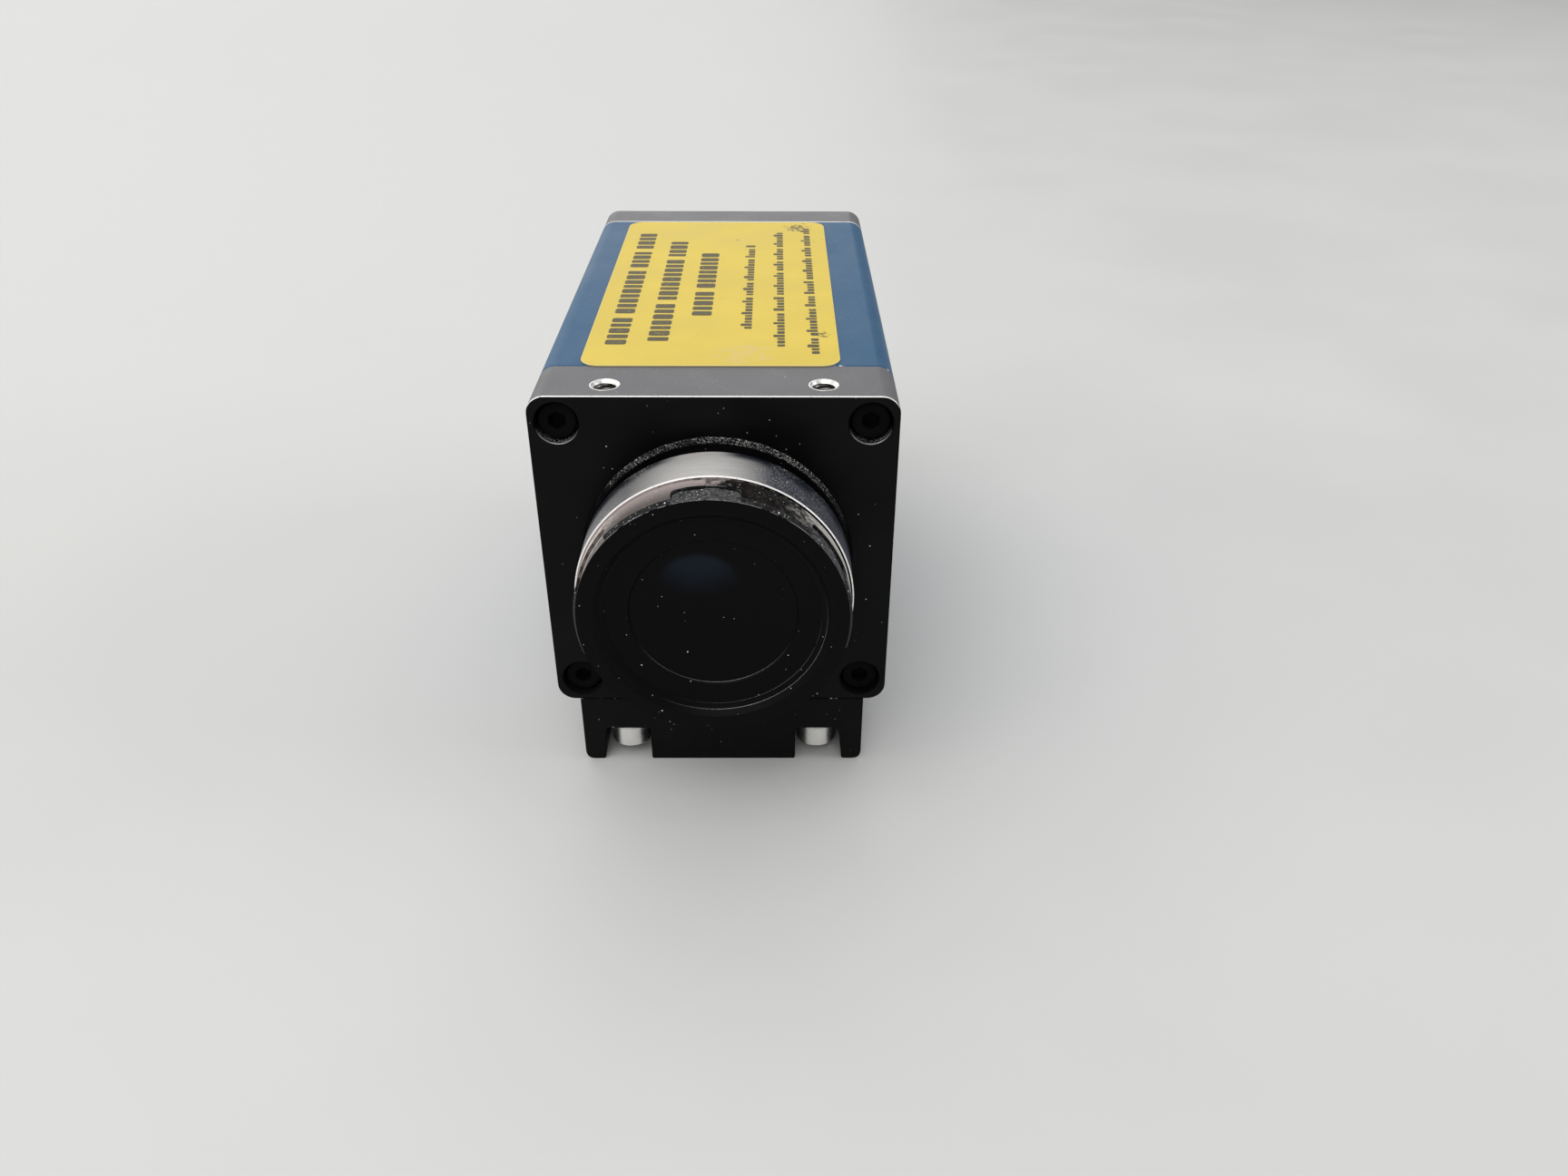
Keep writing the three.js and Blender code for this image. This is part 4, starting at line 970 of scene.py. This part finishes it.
def build_label_marks(low, high):
    """Rows of letter-sized blocks along the label, grouped like words. The broad rows have blocks
    of one height, and the narrow rows mix low and tall ones."""
    blocks = []
    width, length = high.x - low.x, high.y - low.y
    broad = LABEL_LINES[0][1]
    turn = 0
    for across, height, start, end in LABEL_LINES:
        right = low.x + across * width + height / 2
        y = low.y + start * length
        last = low.y + end * length
        left_in_word = WORD_COUNTS[turn % len(WORD_COUNTS)]
        while y < last - height * LINE_END_GAP:
            reach = height * BLOCK_SHARES[turn % len(BLOCK_SHARES)]
            tall = height == broad or turn % TALL_EVERY == 0
            rise = height if tall else height * LOW_BLOCK
            outline = rounded_rectangle(rise, reach, reach / 5, right - rise / 2, y + reach / 2, 2)
            blocks.append(slab("block", outline, LABEL_TOP + 0.005, LABEL_TOP + MARK_HEIGHT))
            y += reach + height * BLOCK_GAP
            turn += 1
            left_in_word -= 1
            if left_in_word == 0:
                y += height * WORD_GAP
                left_in_word = WORD_COUNTS[turn % len(WORD_COUNTS)]
    dress_group("label_marks", blocks, "label_ink")


# Cap screws: head radius, head height, shank radius, shank length and hexagon across its flats.
CORNER_SCREW = (2.3, 2.5, 1.2, 12, 2)
FOOT_SCREW = (2.75, 3, 1.25, 9, 2.5)
SOCKET_SHARE = 0.55  # of the head's height


def cap_screw(name, head_radius, head_height, shank_radius, length, across_flats):
    """A cap-head screw pointing along +Y, with its head's front face at the origin."""
    end = head_height + length
    profile = [
        (0, 0, 0),
        (head_radius, 0, 0.18),
        (head_radius, head_height, 0.05),
        (shank_radius, head_height, 0.1),
        (shank_radius, end, 0.2),
        (0, end, 0),
    ]
    screw = turned_solid(name, profile)
    hexagon_radius = across_flats / math.sqrt(3)
    return cut(screw, rod("socket", hexagon_radius, -1, head_height * SOCKET_SHARE, 0, 0, 6))


def build_corner_screws():
    for corner in CORNERS:
        for end in ("front", "rear"):
            node = f"{end}_screw_{corner}"
            low, high, centre = span(node)
            screw = cap_screw(f"{node}_detail", *CORNER_SCREW)
            if end == "front":
                place = Matrix.Translation((centre.x, low.y, centre.z))
            else:
                turn = Matrix.Rotation(math.pi, 4, "Z")
                place = Matrix.Translation((centre.x, high.y, centre.z)) @ turn
            screw.data.transform(place)
            dress(screw, ["black_steel"], node, bevel=0.06, segments=1)


BUSH_RADIUS = 1.79
BUSH_BORE = 1.36
BUSH_RIM = 0.1
BUSH_CHAMFER = 0.4


def build_thread_inserts():
    """Bright bushes with a wide rim round a darker thread."""
    for side in SIDES:
        node = f"top_thread_insert_{side}"
        low, _, centre = span(node)
        axis = (centre.x, centre.y)
        top = SIDE + 0.01
        outline = [
            (BUSH_BORE, low.z, 0),
            (BUSH_RADIUS, low.z, 0),
            (BUSH_RADIUS, top, 0.05),
            (BUSH_RADIUS - BUSH_RIM, top, 0.03),
            (BUSH_BORE, top - BUSH_CHAMFER, 0.05),
        ]
        bush = turned(f"{node}_detail", fillet(outline, 0), facets=64, upright=axis)
        ends = (low.z + 0.4, top - 0.6)
        ridge = thread("ridge", BUSH_BORE, BUSH_BORE - 0.2, M3_PITCH, *ends, upright=axis)
        floor = upright_rod("floor", BUSH_BORE + 0.1, low.z - 0.2, low.z, *axis)
        gather(bush, ridge, floor)
        # The bore and its thread take the darker steel: painted shade inside the hole.
        for face in bush.data.polygons:
            reach = math.hypot(face.center.x - centre.x, face.center.y - centre.y)
            if reach < BUSH_BORE + 0.02 and face.center.z < top - 0.3:
                face.material_index = 1
        dress(bush, ("bright_steel", "shaded_steel"), node)


GRUB_RADIUS = 1.15
GRUB_LENGTH = 4.0
GRUB_SOCKET_RADIUS = 0.75
GRUB_SOCKET_DEPTH = 1.4


def build_set_screws():
    outline = [
        (0, 0, 0),
        (GRUB_RADIUS, 0, 0.15),
        (GRUB_RADIUS, GRUB_LENGTH, 0.15),
        (0, GRUB_LENGTH, 0),
    ]
    for side in SIDES:
        node = f"mount_set_screw_{side}"
        low, high, centre = span(node)
        grub = turned_solid(f"{node}_detail", outline)
        cut(grub, rod("socket", GRUB_SOCKET_RADIUS, -1, GRUB_SOCKET_DEPTH, 0, 0, 6))
        turn = Matrix.Rotation(math.copysign(math.pi / 2, centre.x), 4, "Z")
        outer = math.copysign(max(abs(low.x), abs(high.x)), centre.x)
        grub.data.transform(Matrix.Translation((outer, centre.y, centre.z)) @ turn)
        dress(grub, ["black_steel"], node, bevel=0.05, segments=1)


# --- lens mount

RING_BAND = 0.7  # the part of the ring's front face that shows round the dust cap
RING_EDGE = 0.15
THREAD_END = -4.6
LIGHT_RADIUS = 10.2  # the opening to the sensor
FILTER_RADIUS = 12.2
FILTER_SEAT = 2.4
RING_MATERIALS = ("ring_anodised_painted_light", "ring_edge", "cap_side_painted_reflections")


def build_mount_ring():
    low, high = span("lens_mount_ring")[:2]
    radius, front = high.x, low.y
    outline = [
        (radius - RING_EDGE, front, 0),
        (radius, front + RING_EDGE, 0),
        (radius, REAR_OF_RING, 0.15),
        (NECK_RADIUS, REAR_OF_RING, 0.1),
        (NECK_RADIUS, high.y, 0.2),
        (LIGHT_RADIUS, high.y, 0.1),
        (LIGHT_RADIUS, FILTER_SEAT, 0.1),
        (FILTER_RADIUS, FILTER_SEAT, 0),
        (FILTER_RADIUS, THREAD_END, 0.1),
        (THREAD_RADIUS, THREAD_END, 0.1),
        (THREAD_RADIUS, front + 0.6, 0),
        (THREAD_RADIUS + 0.6, front, 0.05),
        (radius - RING_BAND, front, 0),
    ]
    body = turned("lens_mount_ring_detail", fillet(outline, 0))

    def in_band(reach, at):
        return at.y < front + 0.01 and reach > radius - RING_BAND

    def on_edge(reach, at):
        return at.y < front + RING_EDGE and reach > radius - RING_EDGE

    # The band round the cap takes the cap side's painted reflections.
    paint_faces(body, RING_MATERIALS, "cap_side_painted_reflections", in_band)
    paint_faces(body, RING_MATERIALS, "ring_edge", on_edge)
    ends = (front + 0.9, THREAD_END - 0.4)
    gather(body, thread("ridge", THREAD_RADIUS, THREAD_RADIUS - 0.24, THREAD_PITCH, *ends))
    dress(body, RING_MATERIALS, "lens_mount_ring", body="mount_ring")


GRIP_COUNT = 6
GRIP_WIDTH = 7.7
GRIP_LENGTH = 2.7
GRIP_DEPTH = 0.35
GRIP_CORNER = 0.7
GRIP_TILT = 1.6
DISH_RADIUS = 9.87
DISH_EDGE = -12.5
DISH_RISE = 0.75
DISH_STEPS = 10
FACE_STEP_RADIUS = 13.36
FACE_DEPTH = 3.0  # everything this close to the cap's front belongs to its face
CAP_CHAMFER = 0.35
CAP_CHAMFER_LENGTH = 0.7
CAP_ROUNDING = 0.08
SKIRT_REAR = REAR_OF_CAP + 0.24
SEAL_GROOVE = (13.0, 14.5)
SEAL_GROOVE_FLOOR = REAR_OF_CAP - 0.7
PLUG_RADIUS = 12.05
PLUG_HOLLOW_RADIUS = 10.4
PLUG_HOLLOW_FLOOR = -10.4
CAP_MATERIALS = (
    "black_plastic",
    "cap_edge",
    "cap_side_painted_reflections",
    "cap_grip",
    "cap_dish_painted_reflection",
    "cap_rim",
    "dish_line",
    "step_line",
    "cap_chamfer",
)


def cap_profile(rear, radius):
    """Half the dust cap's section: the dished face, the stepped rings, the rim and the plug."""
    dish = []
    for step in range(DISH_STEPS):
        share = step / DISH_STEPS
        dish.append((DISH_RADIUS * share, DISH_EDGE + DISH_RISE * (1 - share * share), 0))
    groove_inner, groove_outer = SEAL_GROOVE
    return dish + [
        (DISH_RADIUS, DISH_EDGE, 0.08),
        (10.05, -12.75, 0.08),
        (THREAD_RADIUS, -13.0, 0.12),
        (FACE_STEP_RADIUS, -13.4, 0.12),
        (14.05, CAP_FRONT, 0.3),
        (radius - CAP_CHAMFER, CAP_FRONT, CAP_ROUNDING),
        (radius, CAP_FRONT + CAP_CHAMFER_LENGTH, CAP_ROUNDING),
        (radius, SKIRT_REAR, 0.1),
        (groove_outer, SKIRT_REAR, 0.1),
        (groove_outer, SEAL_GROOVE_FLOOR, 0),
        (groove_inner, SEAL_GROOVE_FLOOR, 0),
        (groove_inner, REAR_OF_CAP, 0.1),
        (PLUG_RADIUS, REAR_OF_CAP, 0.1),
        (PLUG_RADIUS, rear, 0.3),
        (PLUG_HOLLOW_RADIUS, rear, 0.2),
        (PLUG_HOLLOW_RADIUS, PLUG_HOLLOW_FLOOR, 0.4),
        (0, PLUG_HOLLOW_FLOOR, 0),
    ]


def grip_cutter(radius, angle):
    """A recess in the cap's edge with a curved floor, open at the front, with rounded rear
    corners. It is made at the top and turned round the lens axis."""
    front = CAP_FRONT - OVERRUN
    sector = arc(0, AXIS, radius + 2, 65, 115, 10) + arc(0, AXIS, radius - GRIP_DEPTH, 115, 65, 40)
    floor = prism("grip", sector, front, CAP_FRONT + 4)
    length = GRIP_LENGTH + OVERRUN
    outline = rounded_rectangle(GRIP_WIDTH, length, GRIP_CORNER, 0, front + length / 2, 6)
    cutter = combine(floor, [slab("window", outline, AXIS, AXIS + 30)], "INTERSECT")
    to_axis = Matrix.Translation((0, 0, AXIS))
    cutter.data.transform(to_axis @ Matrix.Rotation(math.radians(angle), 4, "Y") @ to_axis.inverted())
    return cutter


def paint_cap(body, radius):
    """Sorts the cap's faces. Later tests overrule earlier ones."""
    inner, outer = radius - CAP_CHAMFER, radius - 0.03
    lip = CAP_FRONT + 0.06
    slope_end = CAP_FRONT + CAP_CHAMFER_LENGTH
    in_face = CAP_FRONT + FACE_DEPTH

    def on_side(reach, at):
        # The left grip's recess takes the side's painted reflections too, in place of grit.
        left_grip = at.x < -GRIP_WIDTH and reach > inner - 0.03
        return at.y > slope_end and (reach > outer or left_grip)

    def paint(name, chosen):
        paint_faces(body, CAP_MATERIALS, name, chosen)

    paint("cap_grip", lambda reach, at: inner - 0.03 < reach < outer and at.y > lip)
    paint("cap_chamfer", lambda reach, at: inner + 0.05 < reach < outer and lip < at.y < slope_end)
    paint("cap_side_painted_reflections", on_side)
    paint("cap_side_painted_reflections", lambda reach, at: reach > radius - 0.15 and at.y > REAR_OF_CAP)
    paint("cap_dish_painted_reflection", lambda reach, at: reach < DISH_RADIUS)
    paint("cap_rim", lambda reach, at: inner - 0.1 < reach < outer and at.y < lip)
    paint("dish_line", lambda reach, at: abs(reach - DISH_RADIUS) < 0.05 and at.y < in_face)
    for line in (THREAD_RADIUS, FACE_STEP_RADIUS):
        paint("step_line", lambda reach, at: line - 0.06 < reach < line + 0.1 and at.y < in_face)


def flatten_front(cap):
    """Brings back to the front face the corners that the bevel pushed out past it."""
    for vertex in cap.data.vertices:
        vertex.co.y = max(vertex.co.y, CAP_FRONT)


def build_dust_cap():
    high = span("dust_cap")[1]
    rear, radius = high.y, high.x
    body = turned("dust_cap_detail", fillet(cap_profile(rear, radius), 0, closed=False, steps=5))
    angles = [grip * 360 / GRIP_COUNT - GRIP_TILT for grip in range(GRIP_COUNT)]
    cut(body, *[grip_cutter(radius, angle) for angle in angles])
    ridge = thread("ridge", PLUG_RADIUS, PLUG_RADIUS + 0.3, THREAD_PITCH, REAR_OF_CAP + 0.5, rear - 0.5)
    paint_cap(body, radius)
    dress(
        body,
        CAP_MATERIALS,
        "dust_cap",
        body="dust_cap",
        bevel=0.07,
        limit=50,
        added=[ridge],
        touch_up=flatten_front,
    )


SEAL_RADII = (13.3, 14.2)
SEAL_ROUNDING = 0.2


def build_cap_seal():
    low, high = span("cap_seal")[:2]
    inner, outer = SEAL_RADII
    section = [(inner, low.y), (outer, low.y), (outer, high.y), (inner, high.y)]
    seal = turned("cap_seal_detail", fillet(section, SEAL_ROUNDING))
    dress(seal, ["rubber"], "cap_seal", body="cap_seal")


# --- tripod foot

# The underside's half widths: the middle pad, the far side of each channel, and the rounding of
# the outer edges. The channels are this deep.
PAD_HALF_WIDTH = 10.0
CHANNEL_SIDE = 16.0
CHANNEL_DEPTH = 5.4
FOOT_ROUNDING = 2.5
FOOT_SCREW_HOLE_RADIUS = 1.6
TRIPOD_HOLE_DEPTH = 8.0
# Tripod threads: radius, crest radius, pitch, where the ridge starts and the place along the foot.
TRIPOD_THREADS = ((3.175, 2.6, 25.4 / 20, 1.0, 16), (3.0, 2.5, 1.0, 0.8, 32))


FOOT_CORNERS = [f"{row}_{side}" for row in ("front", "rear") for side in SIDES]


def build_foot():
    low, high = span("tripod_foot")[:2]
    half, top, ceiling = high.x, -SEAM_GAP, low.z + CHANNEL_DEPTH
    right_half = [
        (PAD_HALF_WIDTH, low.z, 0.3),
        (PAD_HALF_WIDTH, ceiling, 0.5),
        (CHANNEL_SIDE, ceiling, 0.5),
        (CHANNEL_SIDE + 0.5, low.z, 0.4),
        (half, low.z, FOOT_ROUNDING),
        (half, top, 0.2),
    ]
    left_half = [(-x, z, rounding) for x, z, rounding in reversed(right_half)]
    outline = fillet([*right_half[-1:], *left_half, *right_half[:-1]], 0, steps=6)
    body = prism("tripod_foot_detail", outline, low.y, high.y)
    cutters, ridges = [], []
    for radius, crest, pitch, start, y in TRIPOD_THREADS:
        end = low.z + TRIPOD_HOLE_DEPTH
        cutters.append(upright_rod("tripod_hole", radius, low.z - 1, end, 0, y))
        ridges.append(thread("ridge", radius, crest, pitch, low.z + start, end - 0.6, upright=(0, y)))
    for corner in FOOT_CORNERS:
        place = middle(f"foot_washer_{corner}")
        cutters.append(upright_rod("screw_hole", FOOT_SCREW_HOLE_RADIUS, low.z, 1, place.x, place.y))
    cut(body, *cutters)
    dress(body, ("black_anodised", "foot_edge"), "tripod_foot", bevel=0.15, added=ridges)


WASHER_RADII = (1.6, 3.0)
WASHER_ROUNDING = 0.08


def build_foot_fasteners():
    inner, outer = WASHER_RADII
    for corner in FOOT_CORNERS:
        node = f"foot_screw_{corner}"
        low, high, centre = span(node)
        screw = cap_screw(f"{node}_detail", *FOOT_SCREW)
        place = Matrix.Translation((centre.x, centre.y, low.z))
        screw.data.transform(place @ Matrix.Rotation(math.pi / 2, 4, "X"))
        dress(screw, ["bright_steel"], node, bevel=0.06, segments=1)
        node = f"foot_washer_{corner}"
        low, high = span(node)[:2]
        top = high.z + 0.08
        section = fillet([(inner, low.z), (outer, low.z), (outer, top), (inner, top)], WASHER_ROUNDING)
        axis = (centre.x, centre.y)
        washer = turned(f"{node}_detail", section, facets=SMALL_ROUND, upright=axis)
        dress(washer, ["steel"], node)


# --- rear connectors

SOCKET_WALL = 0.6
SOCKET_BASE = 2.4  # thickness of the moulding behind the tongue
TONGUE_HALF_WIDTH = 3.7
TONGUE_HALF_HEIGHT = 0.75
STRIP_PITCH = 1.25
STRIP_LIFT = 0.05  # how far a contact stands out of the tongue


def build_bus_sockets():
    for place in ("upper", "lower"):
        node = f"bus_socket_shell_{place}"
        low, high, centre = span(node)
        width, height = high.x - low.x, high.z - low.z
        outline = rounded_rectangle(width, height, SOCKET_CORNER, centre.x, centre.z)
        shell = prism(f"{node}_detail", outline, low.y, high.y)
        inner_size = (width - 2 * SOCKET_WALL, height - 2 * SOCKET_WALL)
        hole = rounded_rectangle(*inner_size, 0.6, centre.x, centre.z)
        cut(shell, prism("hollow", hole, low.y - 1, high.y + 1))
        dress(shell, ["steel"], node, bevel=0.1)
        build_bus_insert(place)


def build_bus_insert(place):
    """The moulded tongue of a bus socket, with its nine gold contacts."""
    node = f"bus_socket_insert_{place}"
    low, high, centre = span(node)
    base = block(f"{node}_detail", (low.x, high.x), (low.y, low.y + SOCKET_BASE), (low.z, high.z))
    tongue = block(
        "tongue",
        (centre.x - TONGUE_HALF_WIDTH, centre.x + TONGUE_HALF_WIDTH),
        (low.y + 1, high.y),
        (centre.z - TONGUE_HALF_HEIGHT, centre.z + TONGUE_HALF_HEIGHT),
    )
    join(base, tongue)
    dress(base, ["socket_plastic"], node, bevel=0.12)
    strips = []
    for row, count in ((1, 5), (-1, 4)):
        for index in range(count):
            x = centre.x + (index - (count - 1) / 2) * STRIP_PITCH
            z = centre.z + row * TONGUE_HALF_HEIGHT
            across = (x - STRIP_PITCH / 5, x + STRIP_PITCH / 5)
            along = (low.y + SOCKET_BASE - 0.1, high.y - 0.5)
            strips.append(block("strip", across, along, (z - STRIP_LIFT, z + STRIP_LIFT)))
    dress_group(f"bus_contacts_{place}", strips, "gold")


IO_RADIUS = 5.6
IO_GROOVE_RADIUS = 5.3
IO_BORE = 4.6
IO_INSERT_RADIUS = 4.55
IO_FACE = LENGTH + 0.8
KEYWAY_WIDTH = 1.2
KEYWAY_DEPTH = 0.45
NUT_RADIUS = 7.0
NUT_REAR = LENGTH + 1.4
NUT_FLAT = 7.425  # middle of the cutter that leaves each flat on the round nut
PIN_RADIUS = 0.36
PIN_CIRCLES = ((9, 2.9), (3, 1.2))  # how many pins stand on each circle, and its radius


def io_shell_profile(low, high):
    """Half the section of the connector's grooved barrel and its nut."""
    nut_front = LENGTH + SEAM_GAP
    return [
        (IO_BORE, low.y, 0),
        (IO_RADIUS, low.y, 0),
        (IO_RADIUS, nut_front, 0),
        (NUT_RADIUS, nut_front, 0.1),
        (NUT_RADIUS, NUT_REAR, 0.25),
        (IO_RADIUS, NUT_REAR, 0.1),
        (IO_RADIUS, NUT_REAR + 2.2, 0.1),
        (IO_GROOVE_RADIUS, NUT_REAR + 2.4, 0.1),
        (IO_GROOVE_RADIUS, NUT_REAR + 3.2, 0.1),
        (IO_RADIUS, NUT_REAR + 3.4, 0.1),
        (IO_RADIUS, high.y, 0.35),
        (IO_BORE, high.y, 0.15),
    ]


def build_io_shell():
    low, high, centre = span("io_connector_shell")
    profile = fillet(io_shell_profile(low, high), 0)
    shell = turned("io_connector_shell_detail", profile, centre.x, centre.z, 96)
    across = (centre.x - KEYWAY_WIDTH / 2, centre.x + KEYWAY_WIDTH / 2)
    heights = (centre.z + IO_BORE - 0.6, centre.z + IO_BORE + KEYWAY_DEPTH)
    keyway = block("keyway", across, (LENGTH + 3, high.y + 1), heights)
    flats = []
    for flat_x in (centre.x - NUT_FLAT, centre.x + NUT_FLAT):
        along = (LENGTH - 1, NUT_REAR + 0.01)
        flats.append(block("flat", (flat_x - 1, flat_x + 1), along, (0, SIDE)))
    cut(shell, keyway, *flats)
    dress(shell, ["steel"], "io_connector_shell", bevel=0.06, limit=60)


def build_io_insert():
    """The connector's insulator with its twelve pins."""
    centre = middle("io_connector_shell")
    low, high = span("io_connector_insert")[:2]
    radius = IO_INSERT_RADIUS
    outline = [(0, low.y, 0), (radius, low.y, 0), (radius, IO_FACE, 0.15), (0, IO_FACE, 0)]
    insulator = turned_solid("io_connector_insert_detail", outline, centre.x, centre.z, 64)
    dress(insulator, ["socket_plastic"], "io_connector_insert")
    foot = IO_FACE - 1
    outline = [(0, foot, 0), (PIN_RADIUS, foot, 0), (PIN_RADIUS, high.y, 0.25), (0, high.y, 0)]
    pins = []
    for count, circle in PIN_CIRCLES:
        for index in range(count):
            angle = 2 * math.pi * index / count
            x, z = centre.x + circle * math.sin(angle), centre.z + circle * math.cos(angle)
            pins.append(turned_solid("pin", outline, x, z, 16))
    dress_group("io_contacts", pins, "gold")


LIGHT_DOME_RADIUS = 1.5
LIGHT_DOME_HEIGHT = 0.5


def build_status_light():
    low, high, centre = span("status_light")
    dome = []
    for degrees in range(0, 90, 15):
        angle = math.radians(degrees)
        height = high.y - LIGHT_DOME_HEIGHT + LIGHT_DOME_HEIGHT * math.sin(angle)
        dome.append((LIGHT_DOME_RADIUS * math.cos(angle), height))
    profile = [(0, low.y), (LIGHT_DOME_RADIUS, low.y)] + dome + [(0, high.y)]
    light = turned("status_light_detail", profile, centre.x, centre.z, SMALL_ROUND)
    dress(light, ["clear_light"], "status_light")


# --- floor, light and camera

# The camera stands in front of the housing and above it, in the housing's frame.
CAMERA_PLACE = Vector((7.13, -129.63, 99.21))
CAMERA_PITCH = -32.154
CAMERA_YAW = -0.54
CAMERA_ROLL = 0.29
LENS = 27.495
SENSOR = 36.0
FLOOR_SIZE = 6.0  # metres
LIGHT_TARGET = Vector((0, 0, 0.03))


def build_camera():
    data = bpy.data.cameras.new("camera")
    data.lens = LENS
    data.sensor_width = SENSOR
    data.clip_start = 0.005
    data.clip_end = 20
    camera = bpy.data.objects.new("camera", data)
    bpy.context.scene.collection.objects.link(camera)
    aim = Matrix.Rotation(math.radians(CAMERA_YAW), 4, "Z")
    aim = aim @ Matrix.Rotation(math.radians(90 + CAMERA_PITCH), 4, "X")
    aim = aim @ Matrix.Rotation(math.radians(CAMERA_ROLL), 4, "Z")
    camera.matrix_world = Matrix.Translation(TO_ROW @ CAMERA_PLACE) @ aim
    bpy.context.scene.camera = camera


def build_floor():
    bm = bmesh.new()
    half = FLOOR_SIZE / 2
    corners = ((-half, -half), (half, -half), (half, half), (-half, half))
    bm.faces.new([bm.verts.new((x, y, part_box("tripod_foot")[0].z)) for x, y in corners])
    floor = make_object("floor", bm)
    graph = Graph("floor")
    cloud = graph.noise(60.0)
    patches = graph.vary(cloud)
    graph.set(Base_Color=graph.mix(patches, (0.58, 0.585, 0.58, 1), (0.6, 0.605, 0.595, 1)))
    graph.set(Roughness=graph.vary(cloud, 0.5, 0.58))
    floor.data.materials.append(graph.material)


def softbox(name, place, size, power, colour):
    """A large rectangular light aimed at the camera body."""
    data = bpy.data.lights.new(name, "AREA")
    data.shape = "RECTANGLE"
    data.size, data.size_y = size
    data.energy = power
    data.color = colour
    light = bpy.data.objects.new(name, data)
    bpy.context.scene.collection.objects.link(light)
    light.location = place
    light.visible_camera = False
    light.rotation_euler = (LIGHT_TARGET - light.location).to_track_quat("-Z", "Y").to_euler()


def build_light():
    world = bpy.data.worlds.new("studio")
    bpy.context.scene.world = world
    world.use_nodes = True
    background = world.node_tree.nodes["Background"]
    background.inputs["Color"].default_value = (1, 1, 1, 1)
    background.inputs["Strength"].default_value = 0.36
    softbox("back", (-0.7, 1.3, 0.5), (2.1, 0.9), 6.8, (1, 1, 1))
    softbox("overhead", (-0.05, 0.45, 1.3), (1.8, 1.6), 7.5, (1, 0.99, 0.97))
    softbox("front", (-0.35, -0.8, 1.1), (1.4, 1.0), 10.5, (1, 0.99, 0.98))
    softbox("left", (-1.2, -0.2, 0.5), (0.8, 0.6), 4, (1, 0.95, 0.9))
    softbox("right", (1.2, -0.1, 0.5), (0.8, 0.6), 5, (0.95, 0.98, 1))
    bpy.context.scene.view_settings.view_transform = "Standard"


# --- the whole camera

build_materials()
paint_kept_nodes()
build_camera()
build_front_flange()
build_body_shell()
build_rear_panel()
build_label()
build_corner_screws()
build_thread_inserts()
build_set_screws()
build_mount_ring()
build_dust_cap()
build_cap_seal()
build_foot()
build_foot_fasteners()
build_bus_sockets()
build_io_shell()
build_io_insert()
build_status_light()
build_floor()
build_light()
